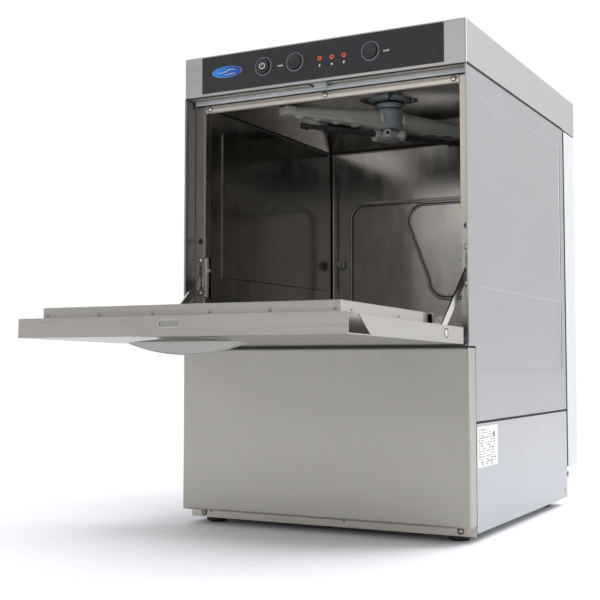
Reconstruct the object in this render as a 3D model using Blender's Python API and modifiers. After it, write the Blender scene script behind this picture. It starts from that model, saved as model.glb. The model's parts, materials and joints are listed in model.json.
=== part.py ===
"""Undercounter commercial dishwasher for 400 mm racks, shown with its drop-down door open.

Everything is modelled in the machine's own frame: x = 0 on the centre line, y = 0 on the front
plane with +y towards the back, z = 0 on the floor. An empty, `machine`, carries that frame and is
set back so that the world origin lies under the middle of the whole outline, open door included.
"""
import math

import bmesh
import bpy

# ---------------------------------------------------------------- driving dimensions (metres)
WIDTH = 0.450
HEIGHT = 0.700
BODY_DEPTH = 0.4885          # front plane to the back edge of the side panels
TOTAL_DEPTH = 0.567          # front plane to the back of the rear cover
SHEET = 0.0012               # stainless sheet
GAP = 0.0003                 # clearance between touching pieces
HALF = WIDTH / 2

# levels above the floor
FOOT_TOP = 0.0122
COVER_BOTTOM = 0.0125
COVER_TOP = 0.1565
PANEL_BOTTOM = 0.1600
FRONT_PANEL_BOTTOM = 0.0213
FRONT_PANEL_TOP = 0.2585
PANEL_TOP = 0.6378
HOOD_BOTTOM = 0.6390
REAR_COVER_BOTTOM = 0.060

# front frame round the opening
FRAME_Y = 0.0285             # face of the frame, behind the front plane
OPENING_HALF = 0.2050
SILL = 0.2840
LINTEL = 0.6185
WRAP_DEPTH = 0.0245          # how far the lower front panel wraps round the sides

# wash chamber
TUB_FRONT = 0.0440
TUB_BACK = 0.4632
TUB_FLOOR = 0.2380
TUB_TOP = 0.6290
TUB_HALF = OPENING_HALF + SHEET
CEILING_RISE = 0.0375
HUB_Y = 0.2600
TANK_FLOOR = 0.1200
TANK_HALF = 0.1860
TANK_FRONT, TANK_BACK = 0.0700, 0.4350
STANDPIPE = (-0.150, 0.400)
RISER_X, RISER_Z = 0.060, 0.0740   # where the pump's delivery pipe leaves through the back panel

# door: `reach` runs from the hinge towards the free edge, `height` up from its outer face
HINGE_Y, HINGE_Z = 0.0070, 0.2690
DOOR_TILT = math.radians(0.9)
DOOR_HALF = 0.2220
DOOR_REACH = 0.3680
DOOR_TAIL = 0.0072           # the skin runs this far past the hinge
DOOR_THICK = 0.0233
SIDE_WALL = 0.0218
LINER_HALF = 0.2030
LINER_NEAR, LINER_FAR = 0.032, 0.346
LINER_TOP = 0.0375

# stay arms
STAY_X = 0.21375
STAY_REACH, STAY_HEIGHT = 0.083, 0.012
STAY_ELEVATION = math.radians(40.0)
STAY_BAR = 0.156             # flat part, from the pivot
STAY_LENGTH = 0.228
STAY_WIDTH = 0.012
STAY_THICK = 0.0025
SLOT_LOW, SLOT_HIGH = 0.3505, 0.3855

# wash and rinse arms
LOWER_ARM_REACH, UPPER_ARM_REACH = 0.182, 0.195
RINSE_REACH = 0.1650
SPINDLE = 0.0110
BORE = 0.0114
UPPER_ARM_ANGLE = math.radians(56)
UPPER_RINSE_ANGLE = math.radians(57)
LOWER_ARM_ANGLE = math.radians(20)
LOWER_RINSE_ANGLE = math.radians(110)

# control panel
FASCIA_HALF = 0.1932
FASCIA_LOW, FASCIA_HIGH = 0.6429, 0.6973
CONTROL_Z = 0.6715
BUTTON_X = {"power_button": -0.0862, "program_button": -0.0340, "start_button": 0.0855}
BUTTON_RADIUS = 0.01075
BEZEL_RADIUS = 0.0140
LAMP_X = {"lamp_1": 0.0060, "lamp_2": 0.0253, "lamp_3": 0.0443}
LAMP_RADIUS = 0.0035

DOOR_FRONT_Y = (HINGE_Y - DOOR_REACH * math.cos(DOOR_TILT)
                - HINGE_Y * math.sin(DOOR_TILT))
MACHINE_Y = -(TOTAL_DEPTH + DOOR_FRONT_Y) / 2


# ---------------------------------------------------------------- scene, materials, helpers
for old in list(bpy.data.objects):
    bpy.data.objects.remove(old, do_unlink=True)

parts = bpy.data.collections.new("commercial_dishwasher")
tools = bpy.data.collections.new("cutters")
for collection in (parts, tools):
    bpy.context.scene.collection.children.link(collection)


def material(name, colour, roughness, metallic=0.0):
    made = bpy.data.materials.new(name)
    made.use_nodes = True
    shader = made.node_tree.nodes["Principled BSDF"]
    shader.inputs["Base Color"].default_value = (*colour, 1.0)
    shader.inputs["Roughness"].default_value = roughness
    shader.inputs["Metallic"].default_value = metallic
    return made


BRUSHED = material("brushed_steel", (0.42, 0.41, 0.39), 0.35, 1.0)
BRIGHT = material("bright_steel", (0.62, 0.62, 0.62), 0.25, 1.0)
CHAMBER = material("chamber_steel", (0.36, 0.34, 0.31), 0.30, 1.0)
PALE = material("pale_cover", (0.80, 0.81, 0.80), 0.50)
FASCIA = material("fascia_film", (0.045, 0.045, 0.055), 0.45)
BLACK = material("black_plastic", (0.02, 0.02, 0.022), 0.50)
GREY = material("grey_plastic", (0.16, 0.18, 0.17), 0.50)
LIGHT_GREY = material("light_grey_plastic", (0.42, 0.45, 0.44), 0.50)
RUBBER = material("rubber", (0.03, 0.03, 0.03), 0.80)
SEAL = material("seal_rubber", (0.35, 0.38, 0.40), 0.60)
ORANGE = material("orange_lens", (0.60, 0.14, 0.04), 0.20)
GREEN = material("circuit_board", (0.03, 0.20, 0.08), 0.50)
ZINC = material("zinc", (0.50, 0.52, 0.52), 0.40, 1.0)


def empty(name, location, rotation=(0, 0, 0), parent=None):
    made = bpy.data.objects.new(name, None)
    parts.objects.link(made)
    made.location, made.rotation_euler, made.parent = location, rotation, parent
    return made


def place(name, mesh, collection, at, turn, parent):
    made = bpy.data.objects.new(name, mesh)
    collection.objects.link(made)
    made.location, made.rotation_euler, made.parent = at, turn, parent
    return made


def to_mesh(name, bm):
    bmesh.ops.recalc_face_normals(bm, faces=bm.faces)
    mesh = bpy.data.meshes.new(name)
    bm.to_mesh(mesh)
    bm.free()
    return mesh


def box(low, high):
    """A box between two corners, as a bmesh about its own centre, with that centre."""
    size = [b - a for a, b in zip(low, high)]
    centre = [(a + b) / 2 for a, b in zip(low, high)]
    bm = bmesh.new()
    bmesh.ops.create_cube(bm, size=1.0)
    bmesh.ops.scale(bm, vec=size, verts=bm.verts)
    return bm, centre


def cylinder(radius, length, axis="Z", segments=32, end_radius=None):
    """A cylinder or cone about its own centre; end_radius is at the + end of the axis."""
    bm = bmesh.new()
    bmesh.ops.create_cone(bm, cap_ends=True, segments=segments, radius1=radius,
                          radius2=radius if end_radius is None else end_radius, depth=length)
    turns = {"X": ("Y", 90), "Y": ("X", -90)}
    if axis in turns:
        about, degrees = turns[axis]
        bmesh.ops.rotate(bm, verts=bm.verts, matrix=rotation(degrees, about))
    return bm


def rotation(degrees, axis):
    from mathutils import Matrix
    return Matrix.Rotation(math.radians(degrees), 3, axis)


def taper(bm, axis, sign, scale_one, scale_two):
    """Shrink the end of a bmesh on one side of an axis, in its other two directions."""
    others = [i for i in range(3) if i != axis]
    for vert in bm.verts:
        if vert.co[axis] * sign > 0:
            vert.co[others[0]] *= scale_one
            vert.co[others[1]] *= scale_two


def smooth(part, angle=40):
    part.data.shade_smooth()
    part.data.set_sharp_from_angle(angle=math.radians(angle))


def solid(name, shape, finish, at=(0, 0, 0), turn=(0, 0, 0), parent=None, bevel=0.0, steps=2):
    part = place(name, to_mesh(name, shape), parts, at, turn, parent or machine)
    part.data.materials.append(finish)
    if bevel:
        round_edges(part, bevel, steps)
    return part


def round_edges(part, width, steps=2):
    modifier = part.modifiers.new("rounded edges", "BEVEL")
    modifier.width, modifier.segments = width, steps
    modifier.limit_method, modifier.angle_limit = "ANGLE", math.radians(50)


def block(name, low, high, finish, parent=None, bevel=0.0, steps=2):
    shape, centre = box(low, high)
    return solid(name, shape, finish, centre, parent=parent, bevel=bevel, steps=steps)


def tray(name, low, high, open_sides, finish, parent=None, bevel=0.0, sheet=SHEET):
    """A sheet-metal box with some of its sides missing, walled inwards from its outer size."""
    shape, centre = box(low, high)
    gone = [f for f in shape.faces if facing(f) in open_sides]
    bmesh.ops.delete(shape, geom=gone, context="FACES_ONLY")
    part = place(name, to_mesh(name, shape), parts, centre, (0, 0, 0), parent or machine)
    point_outwards(part)
    part.data.materials.append(finish)
    if bevel:
        round_edges(part, bevel)
    wall = part.modifiers.new("sheet", "SOLIDIFY")
    wall.thickness, wall.offset, wall.use_even_offset = sheet, -1, True
    return part


def facing(face):
    normal = face.normal
    axis = max(range(3), key=lambda i: abs(normal[i]))
    return ("-" if normal[axis] < 0 else "+") + "xyz"[axis]


def point_outwards(part):
    """Turn the faces of an open box away from its middle."""
    for face in part.data.polygons:
        if face.normal.dot(face.center) < 0:
            face.flip()


def boolean(part, tool_mesh, at, turn, operation):
    number = len(part.modifiers)
    tool = place(f"{part.name}_{operation.lower()}_{number}", tool_mesh, tools, at, turn, part.parent)
    tool.hide_render, tool.display_type = True, "WIRE"
    modifier = part.modifiers.new(operation.lower(), "BOOLEAN")
    modifier.operation, modifier.object, modifier.solver = operation, tool, "EXACT"


def cut(part, shape, at=(0, 0, 0), turn=(0, 0, 0)):
    boolean(part, to_mesh("cutter", shape), at, turn, "DIFFERENCE")


def weld_on(part, shape, at=(0, 0, 0), turn=(0, 0, 0)):
    boolean(part, to_mesh("addition", shape), at, turn, "UNION")


def cut_box(part, low, high):
    cut(part, *box(low, high))


def weld_box(part, low, high):
    weld_on(part, *box(low, high))


def turned(name, profile, finish, at, turn=(0, 0, 0), parent=None, steps=32, closed=False):
    """A turned piece about its own z, from (radius, height) points listed top to bottom."""
    mesh = bpy.data.meshes.new(name)
    edges = [(i, i + 1) for i in range(len(profile) - 1)]
    if closed:
        edges.append((len(profile) - 1, 0))
    mesh.from_pydata([(radius, 0, height) for radius, height in profile], edges, [])
    part = place(name, mesh, parts, at, turn, parent or machine)
    screw = part.modifiers.new("turned", "SCREW")
    screw.axis, screw.steps, screw.render_steps = "Z", steps, steps
    screw.use_merge_vertices, screw.merge_threshold = True, 0.00005
    screw.use_smooth_shade = True
    part.data.materials.append(finish)
    return part


def outline_prism(points, thickness):
    """A flat outline in the y-z plane, given thickness along x, as a bmesh."""
    curve = bpy.data.curves.new("outline", "CURVE")
    curve.dimensions, curve.fill_mode, curve.extrude = "2D", "BOTH", thickness / 2
    spline = curve.splines.new("POLY")
    spline.points.add(len(points) - 1)
    for point, (y, z) in zip(spline.points, points):
        point.co = (y, z, 0, 1)
    spline.use_cyclic_u = True
    holder = bpy.data.objects.new("outline", curve)
    bpy.context.scene.collection.objects.link(holder)
    flat = bpy.data.meshes.new_from_object(holder.evaluated_get(bpy.context.evaluated_depsgraph_get()))
    bpy.data.objects.remove(holder, do_unlink=True)
    bm = bmesh.new()
    bm.from_mesh(flat)
    bmesh.ops.remove_doubles(bm, verts=bm.verts, dist=0.00001)
    for vert in bm.verts:
        vert.co = (vert.co.z, vert.co.x, vert.co.y)
    return bm


def pipe(name, points, radius, finish, parent=None, sides=2, closed_ends=True):
    """A round tube along a smooth run of points."""
    curve = bpy.data.curves.new(name, "CURVE")
    curve.dimensions, curve.bevel_depth = "3D", radius
    curve.bevel_resolution, curve.use_fill_caps = sides, closed_ends
    spline = curve.splines.new("POLY")
    spline.points.add(len(points) - 1)
    for point, co in zip(spline.points, points):
        point.co = (*co, 1)
    part = place(name, curve, parts, (0, 0, 0), (0, 0, 0), parent or machine)
    curve.materials.append(finish)
    return part


def rounded_run(corners, radius, steps=4):
    """Points of a run of straight pipe whose corners are rounded with arcs."""
    from mathutils import Vector
    corners = [Vector(c) for c in corners]
    run = [corners[0]]
    for before, corner, after in zip(corners, corners[1:], corners[2:]):
        back, ahead = (before - corner).normalized(), (after - corner).normalized()
        start, end = corner + back * radius, corner + ahead * radius
        for i in range(steps + 1):
            t = i / steps
            run.append(start * (1 - t) ** 2 + corner * (2 * t * (1 - t)) + end * t ** 2)
    return run + [corners[-1]]


machine = empty("machine", (0, MACHINE_Y, 0))
door_axis = empty("door_hinge_axis", (0, HINGE_Y, HINGE_Z), (-DOOR_TILT, 0, 0), machine)


# ---------------------------------------------------------------- casing
def build_feet():
    places = {"front_left_foot": (-0.193, 0.046), "front_right_foot": (0.193, 0.046),
              "rear_left_foot": (-0.193, 0.440), "rear_right_foot": (0.193, 0.440)}
    for name, (x, y) in places.items():
        profile = [(0, FOOT_TOP), (0.0150, FOOT_TOP), (0.0150, 0.004), (0.0125, 0), (0, 0)]
        turned(name, profile, RUBBER, (x, y, 0), steps=24)


def build_base():
    base = tray("base_frame", (-0.2225, 0.0285, COVER_BOTTOM), (0.2225, 0.487, 0.0325), ["+z"],
                ZINC, sheet=0.0015)
    weld_box(base, (-0.2220, 0.4855, 0.0200), (0.2220, 0.4870, 0.0620))
    for x, radius in ((0.150, 0.0136), (STANDPIPE[0], 0.0140), (0.0, 0.0088)):
        cut(base, cylinder(radius, 0.01, "Y"), (x, 0.4862, 0.045))
    block("kick_rail", (-0.2240, 0.0250, 0.0080), (0.2240, 0.0262, 0.0235), BRIGHT)


def emboss(panel, side, y_range, z_range, depth=0.0010):
    """Press a shallow rectangle into the outer face of a side panel."""
    outer, inner = side * HALF, side * (HALF - SHEET)
    margin = 0.003
    low = (inner - side * depth, y_range[0] + margin, z_range[0] + margin)
    high = (inner + side * SHEET / 2, y_range[1] - margin, z_range[1] - margin)
    weld_box(panel, *sorted_corners(low, high))
    recess, centre = box(*sorted_corners((outer - side * depth, y_range[0], z_range[0]),
                                         (outer + side * 0.001, y_range[1], z_range[1])))
    deep = (y_range[1] - y_range[0] - 2 * margin) / (y_range[1] - y_range[0])
    tall = (z_range[1] - z_range[0] - 2 * margin) / (z_range[1] - z_range[0])
    taper(recess, 0, -side, deep, tall)
    cut(panel, recess, centre)


def sorted_corners(one, other):
    return [min(a, b) for a, b in zip(one, other)], [max(a, b) for a, b in zip(one, other)]


def build_sides():
    for word, side in (("left", -1), ("right", 1)):
        low, high = sorted_corners((side * (HALF - SHEET), 0, PANEL_BOTTOM),
                                   (side * HALF, BODY_DEPTH, PANEL_TOP))
        panel = block(f"{word}_side_panel", low, high, BRUSHED)
        cut_box(panel, *sorted_corners((side * 0.20, -0.01, PANEL_BOTTOM - 0.01),
                                       (side * 0.24, WRAP_DEPTH + 0.0015, FRONT_PANEL_TOP + 0.0015)))
        weld_box(panel, *sorted_corners((side * (HALF - 2 * SHEET), 0.0005, FRONT_PANEL_TOP + 0.003),
                                        (side * (HALF - SHEET / 2), 0.0085, PANEL_TOP - 0.002)))
        emboss(panel, side, (0.050, 0.463), (0.373, 0.606))
        emboss(panel, side, (0.050, 0.463), (0.226, 0.343))
        low, high = sorted_corners((side * (HALF - SHEET), WRAP_DEPTH + 0.0020, COVER_BOTTOM),
                                   (side * HALF, BODY_DEPTH, COVER_TOP))
        cover = block(f"{word}_lower_cover", low, high, BRUSHED)
        weld_box(cover, *sorted_corners((side * 0.2150, 0.040, COVER_TOP - SHEET),
                                        (side * (HALF - SHEET / 2), 0.470, COVER_TOP)))


def build_front_and_rear():
    tray("front_panel", (-HALF, 0, FRONT_PANEL_BOTTOM), (HALF, WRAP_DEPTH, FRONT_PANEL_TOP), ["+y"],
         BRUSHED, bevel=0.003)
    rear = tray("rear_cover", (-0.2235, 0.4945, REAR_COVER_BOTTOM), (0.2235, TOTAL_DEPTH, PANEL_TOP),
                ["-y", "+z"], PALE, bevel=0.002)
    for i in range(6):
        z = 0.560 - i * 0.014
        cut_box(rear, (-0.070, TOTAL_DEPTH - 0.004, z), (0.070, TOTAL_DEPTH + 0.002, z + 0.005))
    back = block("back_panel", (-0.2230, 0.4873, 0.0630), (0.2230, BODY_DEPTH, PANEL_TOP), BRUSHED)
    cut(back, cylinder(0.0090, 0.01, "Y"), (RISER_X, 0.488, RISER_Z))
    for x in (-0.212, 0.212):
        for z in (0.180, 0.560):
            weld_box(back, (x - 0.010, 0.4880, z), (x + 0.010, 0.4942, z + 0.030))


def build_hood():
    hood = tray("top_hood", (-HALF, 0, HOOD_BOTTOM), (HALF, TOTAL_DEPTH, HEIGHT), ["-z"],
                BRUSHED, bevel=0.002)
    weld_box(hood, (-0.2232, 0.0006, HOOD_BOTTOM), (0.2232, 0.0090, HOOD_BOTTOM + SHEET))
    cut_box(hood, (-0.182, -0.005, 0.650), (0.182, 0.005, 0.690))


# ---------------------------------------------------------------- control panel
def build_controls():
    fascia = block("control_fascia", (-FASCIA_HALF, -0.0013, FASCIA_LOW),
                   (FASCIA_HALF, -GAP, FASCIA_HIGH), FASCIA)
    board = block("control_board", (-0.150, 0.0120, 0.6640), (0.150, 0.0280, 0.6940), GREEN)
    for name, x in BUTTON_X.items():
        weld_on(fascia, cylinder(BEZEL_RADIUS, 0.0020, "Y", 40), (x, -0.0020, CONTROL_Z))
        cut(fascia, cylinder(BUTTON_RADIUS + 0.0005, 0.02, "Y", 40), (x, 0, CONTROL_Z))
        solid(name, cylinder(BUTTON_RADIUS, 0.0125, "Y", 40), BLACK, (x, -0.00025, CONTROL_Z),
              bevel=0.0010)
        weld_on(board, cylinder(0.006, 0.0025, "Y", 16), (x, 0.0110, CONTROL_Z))
    for name, x in LAMP_X.items():
        cut(fascia, cylinder(LAMP_RADIUS + 0.0003, 0.02, "Y", 24), (x, 0, CONTROL_Z))
        solid(name, cylinder(LAMP_RADIUS, 0.0070, "Y", 24), ORANGE, (x, 0.0007, CONTROL_Z),
              bevel=0.0012)


# ---------------------------------------------------------------- front frame and latch
def build_frame():
    for word, side in (("left", -1), ("right", 1)):
        outer = side * 0.2232
        low, high = sorted_corners((side * 0.2050, FRAME_Y, 0.2602), (outer, FRAME_Y + SHEET, 0.6315))
        channel = block(f"{word}_frame_channel", low, high, BRIGHT)
        weld_box(channel, *sorted_corners((side * 0.2050, FRAME_Y, SILL), (side * 0.2062, 0.0437, 0.6210)))
        weld_box(channel, *sorted_corners((side * 0.2195, 0.0018, 0.2602), (side * 0.2213, 0.0290, 0.2785)))
        cut(channel, cylinder(0.0044, 0.02, "X", 24), (side * 0.2200, HINGE_Y, HINGE_Z))
        cut_box(channel, *sorted_corners((side * 0.2115, 0.020, SLOT_LOW), (side * 0.2160, 0.031, SLOT_HIGH)))
        cut_box(channel, *sorted_corners((side * 0.2040, FRAME_Y - 0.001, 0.3365), (side * 0.2068, 0.045, 0.3990)))
        build_arm_guide(word, side)
    sill = block("frame_sill", (-0.2047, FRAME_Y, 0.2602), (0.2047, FRAME_Y + SHEET, SILL - GAP), BRIGHT)
    weld_box(sill, (-0.2047, FRAME_Y, SILL - GAP - SHEET), (0.2047, 0.0437, SILL - GAP))
    strip = block("frame_top_strip", (-0.2047, 0.0273, LINTEL), (0.2047, 0.0273 + SHEET, 0.6408), BRIGHT)
    weld_box(strip, (-0.2047, 0.0095, 0.6396), (0.2047, 0.0280, 0.6408))
    cut_box(strip, (-0.0142, 0.0085, 0.630), (0.0142, 0.0217, 0.650))
    block("top_seal", (-0.2210, 0.0236, 0.6320), (0.2210, 0.0270, 0.6392), SEAL, bevel=0.0010)


def build_arm_guide(word, side):
    guide = block(f"{word}_arm_guide", *sorted_corners((side * 0.2035, 0.0300, 0.3380),
                                                       (side * 0.2222, 0.0360, 0.3970)), GREY)
    cut_box(guide, *sorted_corners((side * 0.2113, 0.020, SLOT_LOW - 0.0015),
                                   (side * 0.2162, 0.050, SLOT_HIGH + 0.0045)))
    weld_on(guide, cylinder(0.0026, 0.0050, "X", 16), (side * 0.2025, 0.0330, 0.3780))


def build_latch():
    housing = block("latch_housing", (-0.0135, 0.0098, 0.6385), (0.0135, 0.0212, 0.6580), LIGHT_GREY,
                    bevel=0.0006)
    cut_box(housing, (-0.0103, 0.0112, 0.6300), (0.0103, 0.0172, 0.6700))
    shape, centre = box((-0.0100, 0.0115, 0.6325), (0.0100, 0.0169, 0.6560))
    taper(shape, 2, -1, 0.8, 0.45)
    solid("latch_plunger", shape, LIGHT_GREY, centre)


# ---------------------------------------------------------------- wash chamber
def pad_outline(x_low, x_high, z_low, z_high, radius, lean=0.0, steps=5):
    """A rounded outline in x-z; lean draws its lower corners towards the middle."""
    corners = [(x_low + lean, z_low, 180), (x_high - lean, z_low, 270),
               (x_high, z_high, 0), (x_low, z_high, 90)]
    points = []
    for x, z, start in corners:
        centre_x = x + radius if start in (180, 90) else x - radius
        centre_z = z + radius if start in (180, 270) else z - radius
        for i in range(steps + 1):
            angle = math.radians(start + 90 * i / steps)
            points.append((centre_x + radius * math.cos(angle), centre_z + radius * math.sin(angle)))
    return points


def build_chamber():
    tub = tray("tub", (-TUB_HALF, TUB_FRONT, TUB_FLOOR), (TUB_HALF, TUB_BACK, TUB_TOP), ["+z"], CHAMBER)
    cut_box(tub, (-OPENING_HALF + 0.0001, TUB_FRONT - 0.01, SILL), (OPENING_HALF - 0.0001, 0.0458, 0.65))
    cut_box(tub, (-TANK_HALF + 0.006, TANK_FRONT + 0.005, 0.20), (TANK_HALF - 0.006, TANK_BACK - 0.005, 0.26))
    quarter = (0, 0, math.radians(-90))
    back = outline_prism(pad_outline(-0.164, 0.164, 0.262, 0.530, 0.028), 0.0040)
    weld_on(tub, back, (0, TUB_BACK - SHEET - 0.0010, 0), quarter)
    shield = outline_prism(pad_outline(-0.050, 0.158, 0.352, 0.524, 0.034, lean=0.040), 0.0040)
    weld_on(tub, shield, (0, TUB_BACK - SHEET - 0.0040, 0), quarter)
    for side in (-1, 1):
        inner = side * OPENING_HALF
        weld_box(tub, *sorted_corners((inner - side * 0.0020, 0.075, 0.371), (inner + side * 0.0005, 0.435, 0.597)))
        build_rack_guide(side)

    low = (-TUB_HALF, TUB_FRONT, TUB_TOP + 0.0005)
    high = (TUB_HALF, TUB_BACK, TUB_TOP + CEILING_RISE)
    ceiling = tray("tub_ceiling", low, high, ["-z"], CHAMBER)
    for vert in ceiling.data.vertices:
        if vert.co.z > 0:
            vert.co.x *= 0.86
            vert.co.y *= 0.86
    ceiling.modifiers["sheet"].offset = 1
    cut(ceiling, cylinder(0.0135, 0.02, "Z"), (0, HUB_Y, high[2]))
    fitting = [(0, 0.0140), (0.0060, 0.0140), (0.0060, 0.0060), (0.0095, 0.0060), (0.0095, 0), (0, 0)]
    turned("detergent_inlet", fitting, LIGHT_GREY, (-0.185, TUB_BACK - SHEET - GAP, 0.419),
           (math.radians(90), 0, 0), steps=24)


def build_rack_guide(side):
    word = "left" if side < 0 else "right"
    outer = side * (OPENING_HALF - 0.0006)
    rail = block(f"{word}_rack_guide", *sorted_corners((outer, 0.0460, 0.2935), (side * 0.1925, 0.4550, 0.2949)),
                 BRIGHT)
    weld_box(rail, *sorted_corners((outer, 0.0460, 0.2935), (outer - side * 0.0014, 0.4550, 0.3055)))


def build_tank():
    tank = tray("tank", (-TANK_HALF, TANK_FRONT, TANK_FLOOR), (TANK_HALF, TANK_BACK, TUB_FLOOR - GAP), ["+z"],
                CHAMBER)
    cut(tank, cylinder(0.0110, 0.01, "Z"), (*STANDPIPE, TANK_FLOOR))
    filter_plate = block("tank_filter", (-0.1830, 0.0725, 0.2290), (0.1830, 0.4325, 0.2302), BRIGHT)
    cut(filter_plate, cylinder(0.0205, 0.02, "Z"), (0, HUB_Y, 0.2296))
    cut(filter_plate, cylinder(0.0165, 0.02, "Z"), (*STANDPIPE, 0.2296))
    for row in range(5):
        for column in range(8):
            x, y = -0.150 + column * 0.0429, 0.105 + row * 0.058
            if math.hypot(x, y - HUB_Y) > 0.040:
                cut_box(filter_plate, (x - 0.012, y - 0.003, 0.22), (x + 0.012, y + 0.003, 0.24))
    top, foot = 0.2360, TANK_FLOOR + SHEET + GAP
    profile = [(0.0145, top), (0.0145, foot), (0.0120, foot), (0.0120, top)]
    turned("overflow_pipe", profile, BLACK, (*STANDPIPE, 0), closed=True, steps=24)


# ---------------------------------------------------------------- wash and rinse arms
def wash_arm(name, low, high, tip_low, tip_high, reach, angle, finish):
    """A rotor with two tapering blades; the heights are of the blade roots and of their tips."""
    arm = solid(name, cylinder(0.0240, high - low, "Z"), finish, (0, HUB_Y, (low + high) / 2), (0, 0, angle))
    for side in (1, -1):
        blade, centre = box((0.012, -0.022, low + 0.001), (reach, 0.022, high - 0.001))
        middle = (low + high) / 2
        for vert in blade.verts:
            if vert.co.x > 0:
                vert.co.y *= 0.72
                vert.co.z = (tip_high if vert.co.z > 0 else tip_low) - middle
        bmesh.ops.bevel(blade, geom=list(blade.edges), offset=0.004, segments=2, affect="EDGES")
        if side < 0:
            bmesh.ops.rotate(blade, verts=blade.verts, matrix=rotation(180, "Z"), cent=(-centre[0], 0, 0))
        weld_on(arm, blade, (centre[0] * math.cos(angle), HUB_Y + centre[0] * math.sin(angle), middle),
                (0, 0, angle))
    cut(arm, cylinder(BORE, 0.1, "Z"), (0, HUB_Y, (low + high) / 2))
    return arm


def rinse_arm(name, low, high, angle, finish):
    arm = solid(name, cylinder(0.0165, high - low, "Z"), finish, (0, HUB_Y, (low + high) / 2), (0, 0, angle))
    weld_on(arm, cylinder(0.0050, 2 * RINSE_REACH, "X", 12), (0, HUB_Y, (low + high) / 2), (0, 0, angle))
    cut(arm, cylinder(BORE, 0.1, "Z"), (0, HUB_Y, (low + high) / 2))
    return arm


def build_arms():
    ceiling = TUB_TOP + CEILING_RISE - GAP
    upper = [(0, 0.6725), (0.0125, 0.6725), (0.0125, ceiling), (0.0520, ceiling), (0.0520, ceiling - 0.0032),
             (0.0250, ceiling - 0.0032), (0.0250, 0.6505), (SPINDLE, 0.6505), (SPINDLE, 0.6005),
             (0.0160, 0.6005), (0.0160, 0.5985), (0, 0.5985)]
    turned("upper_hub", upper, GREY, (0, HUB_Y, 0))
    wash_arm("upper_wash_arm", 0.6160, 0.6495, 0.6230, 0.6350, UPPER_ARM_REACH, UPPER_ARM_ANGLE, GREY)
    rinse_arm("upper_rinse_arm", 0.6025, 0.6135, UPPER_RINSE_ANGLE, GREY)
    foot = TANK_FLOOR + SHEET + GAP
    lower = [(0, 0.2885), (0.0160, 0.2885), (0.0160, 0.2865), (SPINDLE, 0.2865), (SPINDLE, 0.2425),
             (0.0190, 0.2425), (0.0190, foot + 0.004), (0.0450, foot + 0.004), (0.0450, foot), (0, foot)]
    turned("lower_hub", lower, GREY, (0, HUB_Y, 0))
    wash_arm("lower_wash_arm", 0.2435, 0.2725, 0.2445, 0.2570, LOWER_ARM_REACH, LOWER_ARM_ANGLE, GREY)
    rinse_arm("lower_rinse_arm", 0.2745, 0.2855, LOWER_RINSE_ANGLE, GREY)


# ---------------------------------------------------------------- water circuit under the tub
def build_machine_room():
    pump_x, pump_y, pump_z = RISER_X, 0.360, RISER_Z
    pump = solid("wash_pump", cylinder(0.0400, 0.0450, "X", 28), BLACK, (pump_x, pump_y, pump_z))
    weld_on(pump, cylinder(0.0360, 0.1300, "X", 28), (pump_x - 0.080, pump_y, pump_z))
    weld_on(pump, cylinder(0.0150, 0.0460, "Z", 20), (pump_x, pump_y, TANK_FLOOR - GAP - 0.0230))
    weld_on(pump, cylinder(0.0130, 0.1000, "Y", 20), (pump_x, pump_y + 0.0600, pump_z))
    top = 0.6885
    run = rounded_run([(pump_x, pump_y + 0.1103, pump_z), (pump_x, 0.530, pump_z), (pump_x, 0.530, top),
                       (0, HUB_Y + 0.060, top), (0, HUB_Y, top), (0, HUB_Y, 0.6728)], 0.008)
    pipe("riser_pipe", rounded_riser(run), 0.0065, BLACK)
    boiler = solid("boiler", cylinder(0.0400, 0.2600, "X", 28), BRIGHT, (-0.030, 0.120, 0.0745), bevel=0.006)
    weld_on(boiler, cylinder(0.0250, 0.0200, "X", 20), (0.105, 0.120, 0.0745))
    weld_on(boiler, cylinder(0.0060, 0.0300, "Y", 12), (-0.120, 0.165, 0.0745))
    valve = block("inlet_valve", (0.130, 0.4420, 0.0280), (0.170, 0.4780, 0.0620), BLACK, bevel=0.002)
    weld_on(valve, cylinder(0.0132, 0.0320, "Y", 24), (0.150, 0.4930, 0.045))
    x, y = STANDPIPE
    drain = rounded_run([(x, y, TANK_FLOOR - GAP), (x, y, 0.045), (x, 0.508, 0.045)], 0.020)
    pipe("drain_outlet", drain, 0.0132, BLACK, sides=3)
    gland = [(0, 0.0120), (0.0060, 0.0120), (0.0105, 0.0080), (0.0105, 0.0006), (0.0085, 0.0006),
             (0.0085, -0.0120), (0, -0.0120)]
    turned("cable_gland", gland, BLACK, (0.0, 0.4870, 0.045), (math.radians(-90), 0, 0), steps=24)


def rounded_riser(run):
    """Drop any points of a run that fall on top of each other."""
    kept = [run[0]]
    for point in run[1:]:
        if (point - kept[-1]).length > 0.0005:
            kept.append(point)
    return kept


# ---------------------------------------------------------------- door
def door_box(reach_near, reach_far, half_or_range, low, high):
    """Corners in the door's frame from reach and height; x is a half width or a (from, to) pair."""
    x_low, x_high = (-half_or_range, half_or_range) if isinstance(half_or_range, float) else half_or_range
    return (x_low, -reach_far, low - HINGE_Y), (x_high, -reach_near, high - HINGE_Y)


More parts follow.
